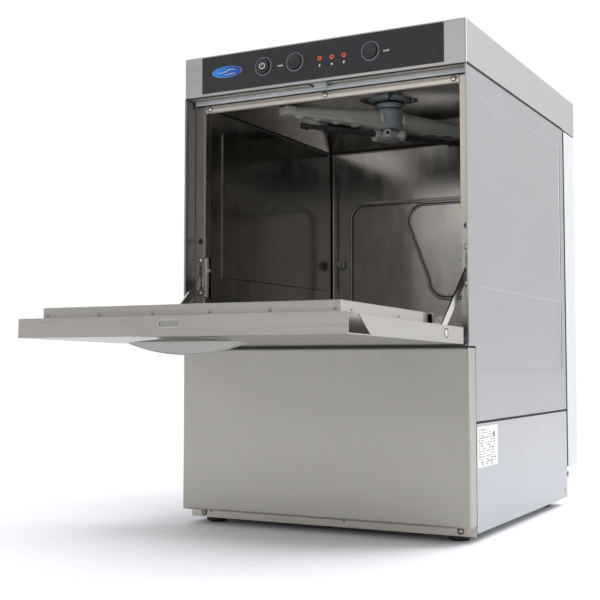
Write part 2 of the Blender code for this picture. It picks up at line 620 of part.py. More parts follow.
def build_door_panel():
    low, high = door_box(-DOOR_TAIL, DOOR_REACH, DOOR_HALF, 0.0, DOOR_THICK)
    panel = tray("door_outer_panel", low, high, ["+z"], BRUSHED, parent=door_axis)
    cut_box(panel, *door_box(-DOOR_TAIL - 0.002, 0.019, 0.230, 0.0100, 0.030))
    for side in (-1, 1):
        sides = tuple(sorted((side * 0.2185, side * 0.2300)))
        cut_box(panel, *door_box(-DOOR_TAIL - 0.002, 0.0200, sides, -0.002, 0.030))
        cut(panel, cylinder(0.0044, 0.006, "X", 20), (side * 0.2214, -STAY_REACH, STAY_HEIGHT - HINGE_Y))
    notch = [(-0.012, SIDE_WALL), (0.342, SIDE_WALL), (0.312, SHEET), (DOOR_REACH - SHEET, SHEET),
             (DOOR_REACH - SHEET, 0.030), (-0.012, 0.030)]
    cut(panel, outline_prism([(-reach, height - HINGE_Y) for reach, height in notch], 0.46))
    weld_box(panel, *door_box(0.3490, DOOR_REACH - SHEET / 2, DOOR_HALF, DOOR_THICK - SHEET, DOOR_THICK))
    cut_box(panel, *door_box(DOOR_REACH - 0.006, DOOR_REACH + 0.004, 0.0150, 0.0105, 0.0180))


def build_door_liner():
    low, high = door_box(LINER_NEAR, LINER_FAR, LINER_HALF, 0.0018, LINER_TOP)
    liner = tray("door_inner_liner", low, high, ["-z"], BRUSHED, parent=door_axis, bevel=0.0015)
    for side in (-1, 1):
        sides = tuple(sorted((side * 0.1975, side * 0.2060)))
        cut_box(liner, *door_box(0.081, 0.113, sides, 0.0100, 0.050))


def build_door_handle():
    """A lens-shaped pull that hangs from a mounting plate, bellied towards the free edge."""
    half_span, columns, rows = 0.081, 24, 6
    grid = bmesh.new()
    grid_rows = []
    for j in range(rows + 1):
        v = j / rows
        line = []
        for i in range(columns + 1):
            u = 2 * i / columns - 1
            top = -0.0011 - 0.0047 * u * u
            bottom = -0.0195 + 0.0132 * u * u
            x = half_span * u
            belly = 0.0045 * math.sin(math.pi * v) * (1 - u * u) + 0.004 * (1 - v) * u * u
            height = top + (bottom - top) * v
            line.append(grid.verts.new((x, -(0.3325 + belly), height - HINGE_Y)))
        grid_rows.append(line)
    for upper, lower in zip(grid_rows, grid_rows[1:]):
        for i in range(columns):
            grid.faces.new((upper[i], upper[i + 1], lower[i + 1], lower[i]))
    handle = solid("door_handle", grid, BRUSHED, parent=door_axis)
    wall = handle.modifiers.new("sheet", "SOLIDIFY")
    wall.thickness, wall.offset = 0.0015, 0
    weld_box(handle, *door_box(0.3040, 0.3345, 0.040, -GAP - 0.0015, -GAP))


def build_hinges_and_stays():
    for word, side in (("left", -1), ("right", 1)):
        bracket = block(f"{word}_hinge", *sorted_door(side, 0.2070, 0.2180, -0.005, 0.040, 0.0018, 0.0140),
                        ZINC, parent=door_axis)
        weld_on(bracket, cylinder(0.0040, 0.0100, "X", 24), (side * 0.2172, 0, 0))
        pivot = empty(f"{word}_stay_axis", (side * STAY_X, -STAY_REACH, STAY_HEIGHT - HINGE_Y),
                      (STAY_ELEVATION + DOOR_TILT, 0, 0), door_axis)
        build_stay(word, side, pivot)


def sorted_door(side, x_near, x_far, near, far, low, high):
    x_range = tuple(sorted((side * x_near, side * x_far)))
    return door_box(near, far, x_range, low, high)


def build_stay(word, side, pivot):
    half = STAY_WIDTH / 2
    arm = block(f"{word}_stay_arm", (-STAY_THICK / 2, 0, -half), (STAY_THICK / 2, STAY_BAR, half), BRIGHT,
                parent=pivot)
    weld_on(arm, cylinder(half, STAY_THICK, "X", 24))
    weld_on(arm, cylinder(0.0040, 0.0085, "X", 24), (side * 0.0038, 0, 0))
    weld_on(arm, cylinder(0.0030, STAY_LENGTH - STAY_BAR + 0.002, "Y", 12),
            (0, (STAY_LENGTH + STAY_BAR - 0.002) / 2, 0))
    weld_on(arm, cylinder(0.0060, 0.0020, "Y", 20), (0, STAY_LENGTH - 0.0010, 0))
    turns, steps, start, end = 9, 10, STAY_BAR + 0.0035, STAY_LENGTH - 0.0045
    coil = []
    for i in range(turns * steps + 1):
        angle = 2 * math.pi * i / steps
        along = start + (end - start) * i / (turns * steps)
        coil.append((0.0052 * math.cos(angle), along, 0.0052 * math.sin(angle)))
    pipe(f"{word}_stay_spring", coil, 0.0008, ZINC, parent=pivot, sides=1)


build_feet()
build_base()
build_sides()
build_front_and_rear()
build_hood()
build_controls()
build_frame()
build_latch()
build_chamber()
build_tank()
build_arms()
build_machine_room()
build_door_panel()
build_door_liner()
build_door_handle()
build_hinges_and_stays()
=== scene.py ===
import json
import math
import random

import bmesh
import bpy
from mathutils import Matrix, Vector


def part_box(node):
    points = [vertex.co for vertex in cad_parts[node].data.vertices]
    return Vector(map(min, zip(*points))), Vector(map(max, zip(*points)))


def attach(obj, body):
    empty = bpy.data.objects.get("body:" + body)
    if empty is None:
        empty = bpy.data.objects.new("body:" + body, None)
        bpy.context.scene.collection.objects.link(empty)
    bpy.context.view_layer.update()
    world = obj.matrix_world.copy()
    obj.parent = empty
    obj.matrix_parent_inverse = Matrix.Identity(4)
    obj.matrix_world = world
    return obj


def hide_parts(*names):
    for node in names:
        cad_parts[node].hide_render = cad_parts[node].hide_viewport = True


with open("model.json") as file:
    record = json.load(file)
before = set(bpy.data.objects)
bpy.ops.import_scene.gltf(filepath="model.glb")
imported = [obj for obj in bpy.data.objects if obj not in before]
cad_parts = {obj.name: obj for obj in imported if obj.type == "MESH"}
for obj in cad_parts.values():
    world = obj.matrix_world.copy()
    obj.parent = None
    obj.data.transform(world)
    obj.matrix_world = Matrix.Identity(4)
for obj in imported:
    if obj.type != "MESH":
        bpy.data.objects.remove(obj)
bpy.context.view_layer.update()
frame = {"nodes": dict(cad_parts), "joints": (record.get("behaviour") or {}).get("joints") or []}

scene = bpy.context.scene
nodes = frame["nodes"]
joints = {joint["name"]: joint for joint in frame["joints"]}
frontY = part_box("top_hood")[0][1]                   # the front plane
hubY = joints["upper_wash_spin"]["pos_m"][1]        # the spindle line that all four arms share
print("frame loaded:", len(nodes), "nodes")


def mm(value):
    return value / 1000.0


# colour and node helpers

def linear(code):
    # an sRGB hex code as a linear colour
    channels = [int(code[i:i + 2], 16) / 255 for i in (1, 3, 5)]
    return (*[c / 12.92 if c <= 0.04045 else ((c + 0.055) / 1.055) ** 2.4 for c in channels], 1.0)


def addNode(tree, kind, links=None, **settings):
    # a node, its settings by attribute or input name, and the sockets that feed it
    node = tree.nodes.new(kind)
    for name, value in settings.items():
        if hasattr(node, name):
            setattr(node, name, value)
        else:
            node.inputs[name.replace("_", " ")].default_value = value
    for socket, source in (links or {}).items():
        tree.links.new(source, node.inputs[socket])
    return node


def newMaterial(name, colour, roughness, metallic=0.0, **sockets):
    made = bpy.data.materials.new(name)
    made.use_nodes = True
    shader = made.node_tree.nodes["Principled BSDF"]
    shader.inputs["Base Color"].default_value = linear(colour)
    shader.inputs["Roughness"].default_value = roughness
    shader.inputs["Metallic"].default_value = metallic
    for socket, value in sockets.items():
        shader.inputs[socket.replace("_", " ")].default_value = value
    return made, made.node_tree, shader


def patternSpace(tree, scale, turn=(0, 0, 0)):
    place = addNode(tree, "ShaderNodeTexCoord")
    return addNode(tree, "ShaderNodeMapping", {"Vector": place.outputs["Object"]},
                   Scale=scale, Rotation=turn).outputs[0]


def mixColours(tree, factor, low, high, start=0.0, stop=1.0):
    # from the low to the high colour as the factor runs from start to stop
    ramp = addNode(tree, "ShaderNodeValToRGB", {"Fac": factor})
    for element, colour, position in zip(ramp.color_ramp.elements, (low, high), (start, stop)):
        element.color, element.position = colour, position
    return ramp


def remap(tree, source, low, high, fromLow=0.3, fromHigh=0.7):
    node = addNode(tree, "ShaderNodeMapRange", {"Value": source})
    for name, value in (("From Min", fromLow), ("From Max", fromHigh), ("To Min", low), ("To Max", high)):
        node.inputs[name].default_value = value
    return node.outputs["Result"]


def brushedSteel(name, colour, dark, along, roughness=0.34, bump=0.05, cloud=0.5):
    # austenitic stainless sheet with a No. 4 belt finish: warm grey, long fine scratches one way,
    # so highlights smear across the grain. Real scratches are about 0.1 mm apart, drawn at 0.8 mm
    made, tree, shader = newMaterial(name, colour, roughness, 1.0)
    fine, coarse, run = 1500.0, 520.0, 16.0     # waves per metre across the grain, and along it
    stretch = [run if axis == along else fine for axis in "xyz"]
    wide = [run / 3 if axis == along else coarse for axis in "xyz"]
    scratches = addNode(tree, "ShaderNodeTexNoise", {"Vector": patternSpace(tree, stretch)},
                        Scale=1.0, Detail=3.0, Roughness=0.65)
    bands = addNode(tree, "ShaderNodeTexNoise", {"Vector": patternSpace(tree, wide)},
                    Scale=1.0, Detail=2.0, Roughness=0.5)
    clouds = addNode(tree, "ShaderNodeTexNoise", {"Vector": patternSpace(tree, (5.0, 5.0, 7.0))},
                     Scale=1.0, Detail=3.0, Roughness=0.55)
    blend = addNode(tree, "ShaderNodeMath", {0: scratches.outputs["Fac"], 1: bands.outputs["Fac"]},
                    operation="ADD")
    grain = addNode(tree, "ShaderNodeMath", {0: blend.outputs[0]}, operation="MULTIPLY")
    grain.inputs[1].default_value = 0.5
    tone = mixColours(tree, grain.outputs[0], linear(dark), linear(colour), 0.28, 0.70)
    shade = addNode(tree, "ShaderNodeMix", data_type="RGBA", blend_type="MULTIPLY")
    tree.links.new(tone.outputs[0], shade.inputs[6])
    soft = mixColours(tree, clouds.outputs["Fac"], (0.90, 0.90, 0.90, 1), (1.04, 1.04, 1.04, 1))
    tree.links.new(soft.outputs[0], shade.inputs[7])
    shade.inputs[0].default_value = cloud
    tree.links.new(shade.outputs[2], shader.inputs["Base Color"])
    tree.links.new(remap(tree, grain.outputs[0], roughness - 0.07, roughness + 0.09),
                   shader.inputs["Roughness"])
    relief = addNode(tree, "ShaderNodeBump", {"Height": grain.outputs[0]}, Strength=bump, Distance=0.0004)
    tree.links.new(relief.outputs[0], shader.inputs["Normal"])
    return made


def smoothSteel(name, colour, dark, roughness=0.2, bump=0.08):
    # cold rolled stainless with a 2B finish, as on the wet side: a dull mirror whose images bend,
    # because the sheet is slightly wavy, with a veil of dried water
    made, tree, shader = newMaterial(name, colour, roughness, 1.0)
    waves = addNode(tree, "ShaderNodeTexNoise", {"Vector": patternSpace(tree, (9.0, 9.0, 14.0))},
                    Scale=1.0, Detail=1.5, Roughness=0.4)
    veil = addNode(tree, "ShaderNodeTexNoise", {"Vector": patternSpace(tree, (38.0, 38.0, 16.0))},
                   Scale=1.0, Detail=3.0, Roughness=0.5)
    rolled = addNode(tree, "ShaderNodeTexNoise", {"Vector": patternSpace(tree, (240.0, 240.0, 22.0))},
                     Scale=1.0, Detail=2.0, Roughness=0.6)
    tone = mixColours(tree, veil.outputs["Fac"], linear(dark), linear(colour), 0.25, 0.72)
    tree.links.new(tone.outputs[0], shader.inputs["Base Color"])
    tree.links.new(remap(tree, veil.outputs["Fac"], roughness - 0.03, roughness + 0.05),
                   shader.inputs["Roughness"])
    height = addNode(tree, "ShaderNodeMath", {0: rolled.outputs["Fac"], 2: waves.outputs["Fac"]},
                     operation="MULTIPLY_ADD")
    height.inputs[1].default_value = 0.012
    relief = addNode(tree, "ShaderNodeBump", {"Height": height.outputs[0]}, Strength=bump, Distance=0.006)
    tree.links.new(relief.outputs[0], shader.inputs["Normal"])
    return made


def mouldedPlastic(name, colour, dark, roughness, grit=0.7, bump=0.12, **sockets):
    # injection moulded thermoplastic with a spark-eroded skin: a soft sheen, a fine pebble whose
    # real grit is about 0.2 mm, drawn at the size given in millimetres, and slight uneven tone
    made, tree, shader = newMaterial(name, colour, roughness, 0.0, **sockets)
    pebble = addNode(tree, "ShaderNodeTexNoise", {"Vector": patternSpace(tree, (1, 1, 1))},
                     Scale=1000.0 / grit, Detail=2.0, Roughness=0.5)
    tones = addNode(tree, "ShaderNodeTexNoise", {"Vector": patternSpace(tree, (1, 1, 1))},
                    Scale=55.0, Detail=4.0, Roughness=0.6)
    tone = mixColours(tree, tones.outputs["Fac"], linear(dark), linear(colour), 0.3, 0.7)
    tree.links.new(tone.outputs[0], shader.inputs["Base Color"])
    tree.links.new(remap(tree, pebble.outputs["Fac"], roughness - 0.05, roughness + 0.07),
                   shader.inputs["Roughness"])
    relief = addNode(tree, "ShaderNodeBump", {"Height": pebble.outputs["Fac"]}, Strength=bump,
                     Distance=0.0003)
    tree.links.new(relief.outputs[0], shader.inputs["Normal"])
    return made


def platedSteel(name, colour, dark, roughness):
    # zinc plated mild steel: bluish grey, cloudy from the bath, with a faint crystalline mottle
    made, tree, shader = newMaterial(name, colour, roughness, 1.0)
    crystals = addNode(tree, "ShaderNodeTexVoronoi", {"Vector": patternSpace(tree, (1, 1, 1))}, Scale=260.0)
    bath = addNode(tree, "ShaderNodeTexNoise", {"Vector": patternSpace(tree, (1, 1, 1))},
                   Scale=70.0, Detail=5.0, Roughness=0.6)
    tone = mixColours(tree, bath.outputs["Fac"], linear(dark), linear(colour))
    tree.links.new(tone.outputs[0], shader.inputs["Base Color"])
    tree.links.new(remap(tree, crystals.outputs["Distance"], roughness - 0.08, roughness + 0.10, 0.0, 0.6),
                   shader.inputs["Roughness"])
    return made


# the stainless finishes are one steel in lit and shaded copies: each base colour is painted lighter or darker,
# warmer or cooler, for the light and reflections that fall on that part
finishes = {
    "frontSteel": brushedSteel("brushedStainlessFront", "#B3B0A9", "#ABA8A1", "x", roughness=0.36),
    # painted light: the hood is a lighter, cooler copy of the front steel for the side light on it
    "hoodSteelLit": brushedSteel("brushedStainlessHoodLit", "#C0BFC0", "#B6B5B6", "x", roughness=0.36),
    "doorSteel": brushedSteel("brushedStainlessDoor", "#B9B6B1", "#AFACA6", "x", roughness=0.35),
    "sideSteel": brushedSteel("brushedStainlessSide", "#B0B0B3", "#A8A9AC", "y", roughness=0.36),
    # painted reflection: the lower covers are a lighter copy of the side steel for the bright floor reflected
    # in them
    "lowerSteelLit": brushedSteel("brushedStainlessLowerLit", "#B9BABD", "#B1B2B5", "y", roughness=0.33),
    "frameSteel": brushedSteel("brushedStainlessFrame", "#B9B4AB", "#A39E95", "z", roughness=0.26),
    "stripSteel": brushedSteel("brushedStainlessStrip", "#AAA49B", "#99938A", "x", roughness=0.36),
    # painted highlight: a much lighter copy of the steel for the bright edges of the strip's lip and the latch
    # keeper's rim
    "highlightSteel": brushedSteel("brushedStainlessHighlight", "#D8D3CB", "#C8C3BB", "x", roughness=0.33),
    "railSteel": brushedSteel("brushedStainlessRail", "#CFC9BF", "#BDB7AC", "x", roughness=0.34),
    # painted shade: a darker copy of the door steel for the pull, the latch keeper's face and the liner's
    # pockets
    "pullSteelShaded": brushedSteel("satinStainlessPullShaded", "#A6A5A1", "#9F9E99", "x", roughness=0.45, bump=0.02),
    "chamberSteel": smoothSteel("rolledStainlessChamber", "#9F9D9A", "#94918E", roughness=0.17, bump=0.05),
    # painted reflected light: the ceiling is a much lighter copy of the chamber steel for the light bounced up
    # into it
    "ceilingSteelLit": smoothSteel("rolledStainlessCeilingLit", "#E6E2DA", "#DAD6CE", roughness=0.19, bump=0.03),
    "brightSteel": smoothSteel("polishedStainless", "#DEDBD5", "#CDCAC4", roughness=0.14, bump=0.02),
    "rimPlastic": mouldedPlastic("mouldedPaleAcetal", "#D4D7D1", "#C8CBC5", 0.34),
    "zinc": platedSteel("zincPlate", "#B5B8B8", "#9A9D9F", 0.38),
    "powderCoat": mouldedPlastic("powderCoatedSteel", "#D8DBDB", "#D3D6D6", 0.55, grit=1.2, bump=0.10),
    "fasciaFilm": mouldedPlastic("polycarbonateOverlay", "#26262B", "#212126", 0.50, grit=0.9, bump=0.08),
    "blackPlastic": mouldedPlastic("mouldedBlackAbs", "#1E1F22", "#17181A", 0.42),
    "buttonPlastic": mouldedPlastic("mouldedButtonAbs", "#292C30", "#212327", 0.38, grit=1.1, bump=0.2),
    "bezelPlastic": mouldedPlastic("mouldedBezelAbs", "#7B828A", "#6C727A", 0.34),
    "armPlastic": mouldedPlastic("mouldedPolypropylene", "#C1C1B9", "#B1B1A9", 0.40, grit=0.9),
    "columnPlastic": mouldedPlastic("mouldedGreyPolypropylene", "#98A3A9", "#89949A", 0.42, grit=0.9),
    "darkArmPlastic": mouldedPlastic("mouldedDarkPolypropylene", "#3C413F", "#303433", 0.45),
    "guidePlastic": mouldedPlastic("mouldedAcetal", "#B9BDB8", "#A8ACA6", 0.38),
    "latchPlastic": mouldedPlastic("mouldedNylon", "#AEB7B7", "#9FA8A8", 0.42),
    "sealRubber": mouldedPlastic("extrudedSilicone", "#CBCED0", "#BDC0C2", 0.44, grit=1.4),
    "footRubber": mouldedPlastic("mouldedRubber", "#1B1A1B", "#131213", 0.62),
    "whiteInk": mouldedPlastic("printedWhiteInk", "#F2F3F5", "#E6E7E9", 0.5),
    "labelPaper": mouldedPlastic("polyesterLabel", "#F4F4F3", "#EEEEED", 0.5, grit=1.0),
    "labelInk": mouldedPlastic("printedGreyInk", "#7E8083", "#6B6D70", 0.5),
    "circuitBoard": mouldedPlastic("solderMaskLaminate", "#1F5A34", "#184A2A", 0.35),
    "badgeRim": mouldedPlastic("printedPaleBlueInk", "#8FB4E4", "#7FA4D8", 0.4),
    # painted shade: near black for the lines, gaps and recesses where only shade falls
    "seamShadow": mouldedPlastic("paintedSeamShade", "#1F1E1C", "#171614", 0.7),
}


def lampLens():
    # translucent polycarbonate cap over an unlit lamp: saturated orange, darker in its thick middle
    made, tree, shader = newMaterial("polycarbonateLens", "#D2582A", 0.22, 0.0,
                                     Subsurface_Weight=0.25, Coat_Weight=0.5)
    shader.inputs["Subsurface Radius"].default_value = (0.004, 0.0015, 0.0006)
    cells = addNode(tree, "ShaderNodeTexVoronoi", {"Vector": patternSpace(tree, (1, 1, 1))}, Scale=900.0)
    tone = mixColours(tree, cells.outputs["Distance"], linear("#EE7B4A"), linear("#D2552A"))
    tree.links.new(tone.outputs[0], shader.inputs["Base Color"])
    return made


def badgeEnamel():
    # screen printed enamel under a clear dome: blue running from light to deep along its length
    made, tree, shader = newMaterial("domedEnamel", "#1E7AD0", 0.2, 0.0, Coat_Weight=0.8)
    across = addNode(tree, "ShaderNodeSeparateXYZ", {0: patternSpace(tree, (1, 1, 1))})
    speckle = addNode(tree, "ShaderNodeTexNoise", {"Vector": patternSpace(tree, (1, 1, 1))}, Scale=600.0)
    place = remap(tree, across.outputs["X"], 0.0, 1.0, -0.176, -0.122)
    blend = addNode(tree, "ShaderNodeMath", {0: speckle.outputs["Fac"], 2: place}, operation="MULTIPLY_ADD")
    blend.inputs[1].default_value = 0.06
    tone = mixColours(tree, blend.outputs[0], linear("#0F93EE"), linear("#1B2796"))
    tree.links.new(tone.outputs[0], shader.inputs["Base Color"])
    return made


finishes["lampLens"] = lampLens()
finishes["lampCore"] = mouldedPlastic("polycarbonateShade", "#5B2A1C", "#4A2117", 0.3, grit=0.6)
finishes["badgeEnamel"] = badgeEnamel()
print("materials made:", len(finishes))


# mesh helpers: everything is built in the frame's own coordinates

def addPiece(name, shape, finish, body="machine", stands=(), smooth=True, sharp=35):
    mesh = bpy.data.meshes.new(name)
    bmesh.ops.recalc_face_normals(shape, faces=shape.faces)
    shape.to_mesh(mesh)
    shape.free()
    return finishPiece(name, mesh, finish, body, stands, smooth, sharp)


def finishPiece(name, mesh, finish, body, stands=(), smooth=True, sharp=35):
    mesh.name = name
    piece = bpy.data.objects.new(name, mesh)
    scene.collection.objects.link(piece)
    mesh.materials.clear()
    mesh.materials.append(finishes[finish])
    if smooth:
        mesh.shade_smooth()
        mesh.set_sharp_from_angle(angle=math.radians(sharp))
    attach(piece, body)
    if stands:
        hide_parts(*stands)
    return piece


right, back, up = Vector((1, 0, 0)), Vector((0, 1, 0)), Vector((0, 0, 1))


def at(x, y, z):
    # millimetres from the centre line, behind the front plane and above the floor
    return Vector((mm(x), frontY + mm(y), mm(z)))


def middleOf(name, y=None, z=None):
    # the middle of a node's box, with y or z put where it is wanted
    low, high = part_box(name)
    middle = [(a + b) / 2 for a, b in zip(low, high)]
    return Vector((middle[0], middle[1] if y is None else y, middle[2] if z is None else z))


def heights(name):
    # the bottom and top of a node in millimetres
    return [corner[2] * 1000 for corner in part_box(name)]


def loft(outlines, shape=None, closed=False):
    # a skin over outlines of points, where one point stands for a pole: closed joins the last outline
    # to the first, and otherwise both ends are capped
    shape = shape or bmesh.new()
    rings = [[shape.verts.new(point) for point in outline] for outline in outlines]
    for one, two in list(zip(rings, rings[1:])) + ([(rings[-1], rings[0])] if closed else []):
        steps = max(len(one), len(two))
        for k in range(steps):
            j = (k + 1) % steps
            corners = (one[k % len(one)], one[j % len(one)], two[j % len(two)], two[k % len(two)])
            shape.faces.new(list(dict.fromkeys(corners)))
    for ring in () if closed else (rings[0], rings[-1]):
        if len(ring) > 1:
            shape.faces.new(ring)
    return shape


def turnedShape(profile, centre=(0, 0, 0), axis=(0, 0, 1), steps=48, shape=None, hollow=False):
    # radius and height pairs in millimetres swept round an axis: a solid turning, or a hollow ring
    # whose section closes on itself
    turn = Vector((0, 0, 1)).rotation_difference(Vector(axis)).to_matrix().to_4x4()
    place = Matrix.Translation(Vector(centre)) @ turn
    angles = [2 * math.pi * i / steps for i in range(steps)]
    outlines = [[place @ Vector((mm(radius) * math.cos(a), mm(radius) * math.sin(a), mm(height)))
                 for a in (angles if radius else (0.0,))] for radius, height in profile]
    return loft(outlines, shape, hollow)


def roundedBox(low, high, radius, shape=None, steps=3):
    shape = shape or bmesh.new()
    made = bmesh.ops.create_cube(shape, size=1.0)["verts"]
    size = [b - a for a, b in zip(low, high)]
    centre = Vector([(a + b) / 2 for a, b in zip(low, high)])
    for vert in made:
        vert.co = Vector([c * s for c, s in zip(vert.co, size)]) + centre
    edges = list({edge for vert in made for edge in vert.link_edges})
    if radius:
        bmesh.ops.bevel(shape, geom=edges, offset=mm(radius), segments=steps, affect="EDGES", profile=0.5)
    return shape


def sideBox(side, xs, ys, zs, radius, shape, steps=3):
    # a rounded box in millimetres on the left (-1) or right (1), from its spans across, back and up
    near, far = sorted(side * x for x in xs)
    return roundedBox(at(near, ys[0], zs[0]), at(far, ys[1], zs[1]), radius, shape, steps)


def tubeShape(path, radius, sides=12, shape=None, closed=False, squash=1.0):
    # a round tube along points; squash flattens it in its own second direction
    points = [Vector(point) for point in path]
    count = len(points)
    outlines = []
    side = None
    for i, point in enumerate(points):
        ahead = points[(i + 1) % count] if closed or i < count - 1 else point
        behind = points[i - 1] if closed or i > 0 else point
        run = (ahead - behind).normalized()
        if side is None:
            side = run.orthogonal().normalized()
        side = (side - run * side.dot(run)).normalized()
        above = run.cross(side) * squash
        thick = mm(radius[i] if isinstance(radius, list) else radius)
        outlines.append([point + side * thick * math.cos(a) + above * thick * math.sin(a)
                         for a in (2 * math.pi * k / sides for k in range(sides))])
    return loft(outlines, shape, closed)


def flatShape(outline, y, thick, shape=None):
    # a thin plate facing the front from (x, z) points in millimetres
    return loft([[at(x, y + d, z) for x, z in outline] for d in (0, thick)], shape)


def extruded(section, fromX, toX, shape=None):
    # a (y, z) section in millimetres drawn along the machine's width
    return loft([[at(x, y, z) for y, z in section] for x in (fromX, toX)], shape)


def bar(ys, zs, fromX, toX, shape=None):
    # a flat strip along the machine's width
    (near, far), (low, high) = ys, zs
    return extruded([(near, low), (far, low), (far, high), (near, high)], fromX, toX, shape)


def joined(shapes):
    # several bmeshes as one
    whole = bmesh.new()
    for shape in shapes:
        mesh = bpy.data.meshes.new("joined")
        shape.to_mesh(mesh)
        shape.free()
        whole.from_mesh(mesh)
        bpy.data.meshes.remove(mesh)
    return whole


def roundedLoop(lowX, highX, lowZ, highZ, radius, lean=0.0, steps=10):
    # a closed rounded outline in x and z, with its foot drawn in by the lean at both ends
    corners = [(lowX + lean, lowZ, 180), (highX - lean, lowZ, 270), (highX, highZ, 0), (lowX, highZ, 90)]
    points = []
    for x, z, start in corners:
        cx = x + radius if start in (180, 90) else x - radius
        cz = z + radius if start in (180, 270) else z - radius
        for i in range(steps + 1):
            angle = math.radians(start + 90 * i / steps)
            points.append((cx + radius * math.cos(angle), cz + radius * math.sin(angle)))
    return points


def obround(half, tall, height, steps=10):
    # x and height of a slot outline with round ends
    turns = [(side, math.radians(start + 180 * k / steps)) for side, start in ((1, -90), (-1, 90))
             for k in range(steps + 1)]
    return [(side * (half - tall) + tall * math.cos(a), height + tall * math.sin(a)) for side, a in turns]


def doorPoint(x, reach, height):
    # from the door's own measures in millimetres to the frame, at rest
    door = {"tilt": math.radians(-0.9), "pinHeight": 7}
    y, z = -mm(reach), mm(height - door["pinHeight"])
    hinge = joints["door_hinge"]["pos_m"]
    return Vector((mm(x), hinge[1] + y * math.cos(door["tilt"]) - z * math.sin(door["tilt"]),
                   hinge[2] + y * math.sin(door["tilt"]) + z * math.cos(door["tilt"])))


doorUp = (doorPoint(0, 0, 1) - doorPoint(0, 0, 0)).normalized()
doorOut = (doorPoint(0, 1, 0) - doorPoint(0, 0, 0)).normalized()


def heading(angle):
    return Vector((math.cos(angle), math.sin(angle), 0))


def hubPoint(radius, angle, height):
    # millimetres from the arms' spindle line and above the floor
    return Vector((0, hubY, mm(height))) + heading(angle) * mm(radius)


def aroundHub(shape, angle):
    # a shape drawn along x is turned to its angle and put on the spindle line
    bmesh.ops.rotate(shape, verts=shape.verts, matrix=Matrix.Rotation(angle, 3, "Z"))
    bmesh.ops.translate(shape, verts=shape.verts, vec=(0, hubY, 0))
    return shape


def repeatTree():
    # copies a part onto points, each turned to face its own way, as one plain mesh
    tree = bpy.data.node_groups.new("repeatPart", "GeometryNodeTree")
    tree.is_modifier = True
    for name, kind in (("Points", "NodeSocketGeometry"), ("Part", "NodeSocketObject"),
                       ("Size", "NodeSocketFloat"), ("Finish", "NodeSocketMaterial")):
        tree.interface.new_socket(name, in_out="INPUT", socket_type=kind)
    tree.interface.new_socket("Geometry", in_out="OUTPUT", socket_type="NodeSocketGeometry")
    entry = addNode(tree, "NodeGroupInput")
    part = addNode(tree, "GeometryNodeObjectInfo", {"Object": entry.outputs["Part"]})
    facing = addNode(tree, "GeometryNodeInputNamedAttribute", data_type="FLOAT_VECTOR", Name="facing")
    along = addNode(tree, "GeometryNodeInputNamedAttribute", data_type="FLOAT_VECTOR", Name="along")
    upright = addNode(tree, "FunctionNodeAlignRotationToVector", {"Vector": facing.outputs[0]}, axis="Z")
    turned = addNode(tree, "FunctionNodeAlignRotationToVector",
                     {"Rotation": upright.outputs[0], "Vector": along.outputs[0]}, axis="X", pivot_axis="Z")
    copies = addNode(tree, "GeometryNodeInstanceOnPoints",
                     {"Points": entry.outputs["Points"], "Instance": part.outputs["Geometry"],
                      "Rotation": turned.outputs[0], "Scale": entry.outputs["Size"]})
    plain = addNode(tree, "GeometryNodeRealizeInstances", {0: copies.outputs[0]})
    coated = addNode(tree, "GeometryNodeSetMaterial",
                     {"Geometry": plain.outputs[0], "Material": entry.outputs["Finish"]})
    addNode(tree, "NodeGroupOutput", {"Geometry": coated.outputs[0]})
    return tree


partTree = repeatTree()


def repeatPart(name, part, places, finish, body="machine", size=1.0, sharp=35):
    # places: (position, facing, along); part: a bmesh about its own origin, facing +z
    seed = bpy.data.meshes.new(name + "Seed")
    bmesh.ops.recalc_face_normals(part, faces=part.faces)
    part.to_mesh(seed)
    part.free()
    source = bpy.data.objects.new(name + "Seed", seed)
    points = bpy.data.meshes.new(name + "Points")
    points.from_pydata([place[0] for place in places], [], [])
    for attribute, index in (("facing", 1), ("along", 2)):
        data = points.attributes.new(attribute, "FLOAT_VECTOR", "POINT").data
        for i, place in enumerate(places):
            data[i].vector = place[index]
    holder = bpy.data.objects.new(name + "Points", points)
    for made in (source, holder):
        scene.collection.objects.link(made)
    modifier = holder.modifiers.new("repeat", "NODES")
    modifier.node_group = partTree
    sockets = {item.name: item.identifier for item in partTree.interface.items_tree if item.in_out == "INPUT"}
    modifier[sockets["Part"]] = source
    modifier[sockets["Size"]] = size
    modifier[sockets["Finish"]] = finishes[finish]
    bpy.context.view_layer.update()
    graph = bpy.context.evaluated_depsgraph_get()
    mesh = bpy.data.meshes.new_from_object(holder.evaluated_get(graph), depsgraph=graph)
    for attribute in ("facing", "along"):
        if attribute in mesh.attributes:
            mesh.attributes.remove(mesh.attributes[attribute])
    for made in (holder, source):
        bpy.data.objects.remove(made, do_unlink=True)
    return finishPiece(name, mesh, finish, body, (), True, sharp)


def panHead(radius, height):
    # a domed screw head with a dimple where the driver goes
    return turnedShape([(0, height * 0.45), (radius * 0.20, height * 0.5), (radius * 0.34, height),
                        (radius * 0.62, height * 0.93), (radius * 0.88, height * 0.66), (radius, height * 0.25),
                        (radius, -height * 0.4), (0, -height * 0.4)], steps=20)


def shadeRing(inner, outer, proud=0.2):
    # a ring of painted shade: the dark line where a screw head meets its sheet
    return turnedShape([(inner, -0.2), (outer, -0.2), (outer, proud), (inner, proud)], steps=28, hollow=True)
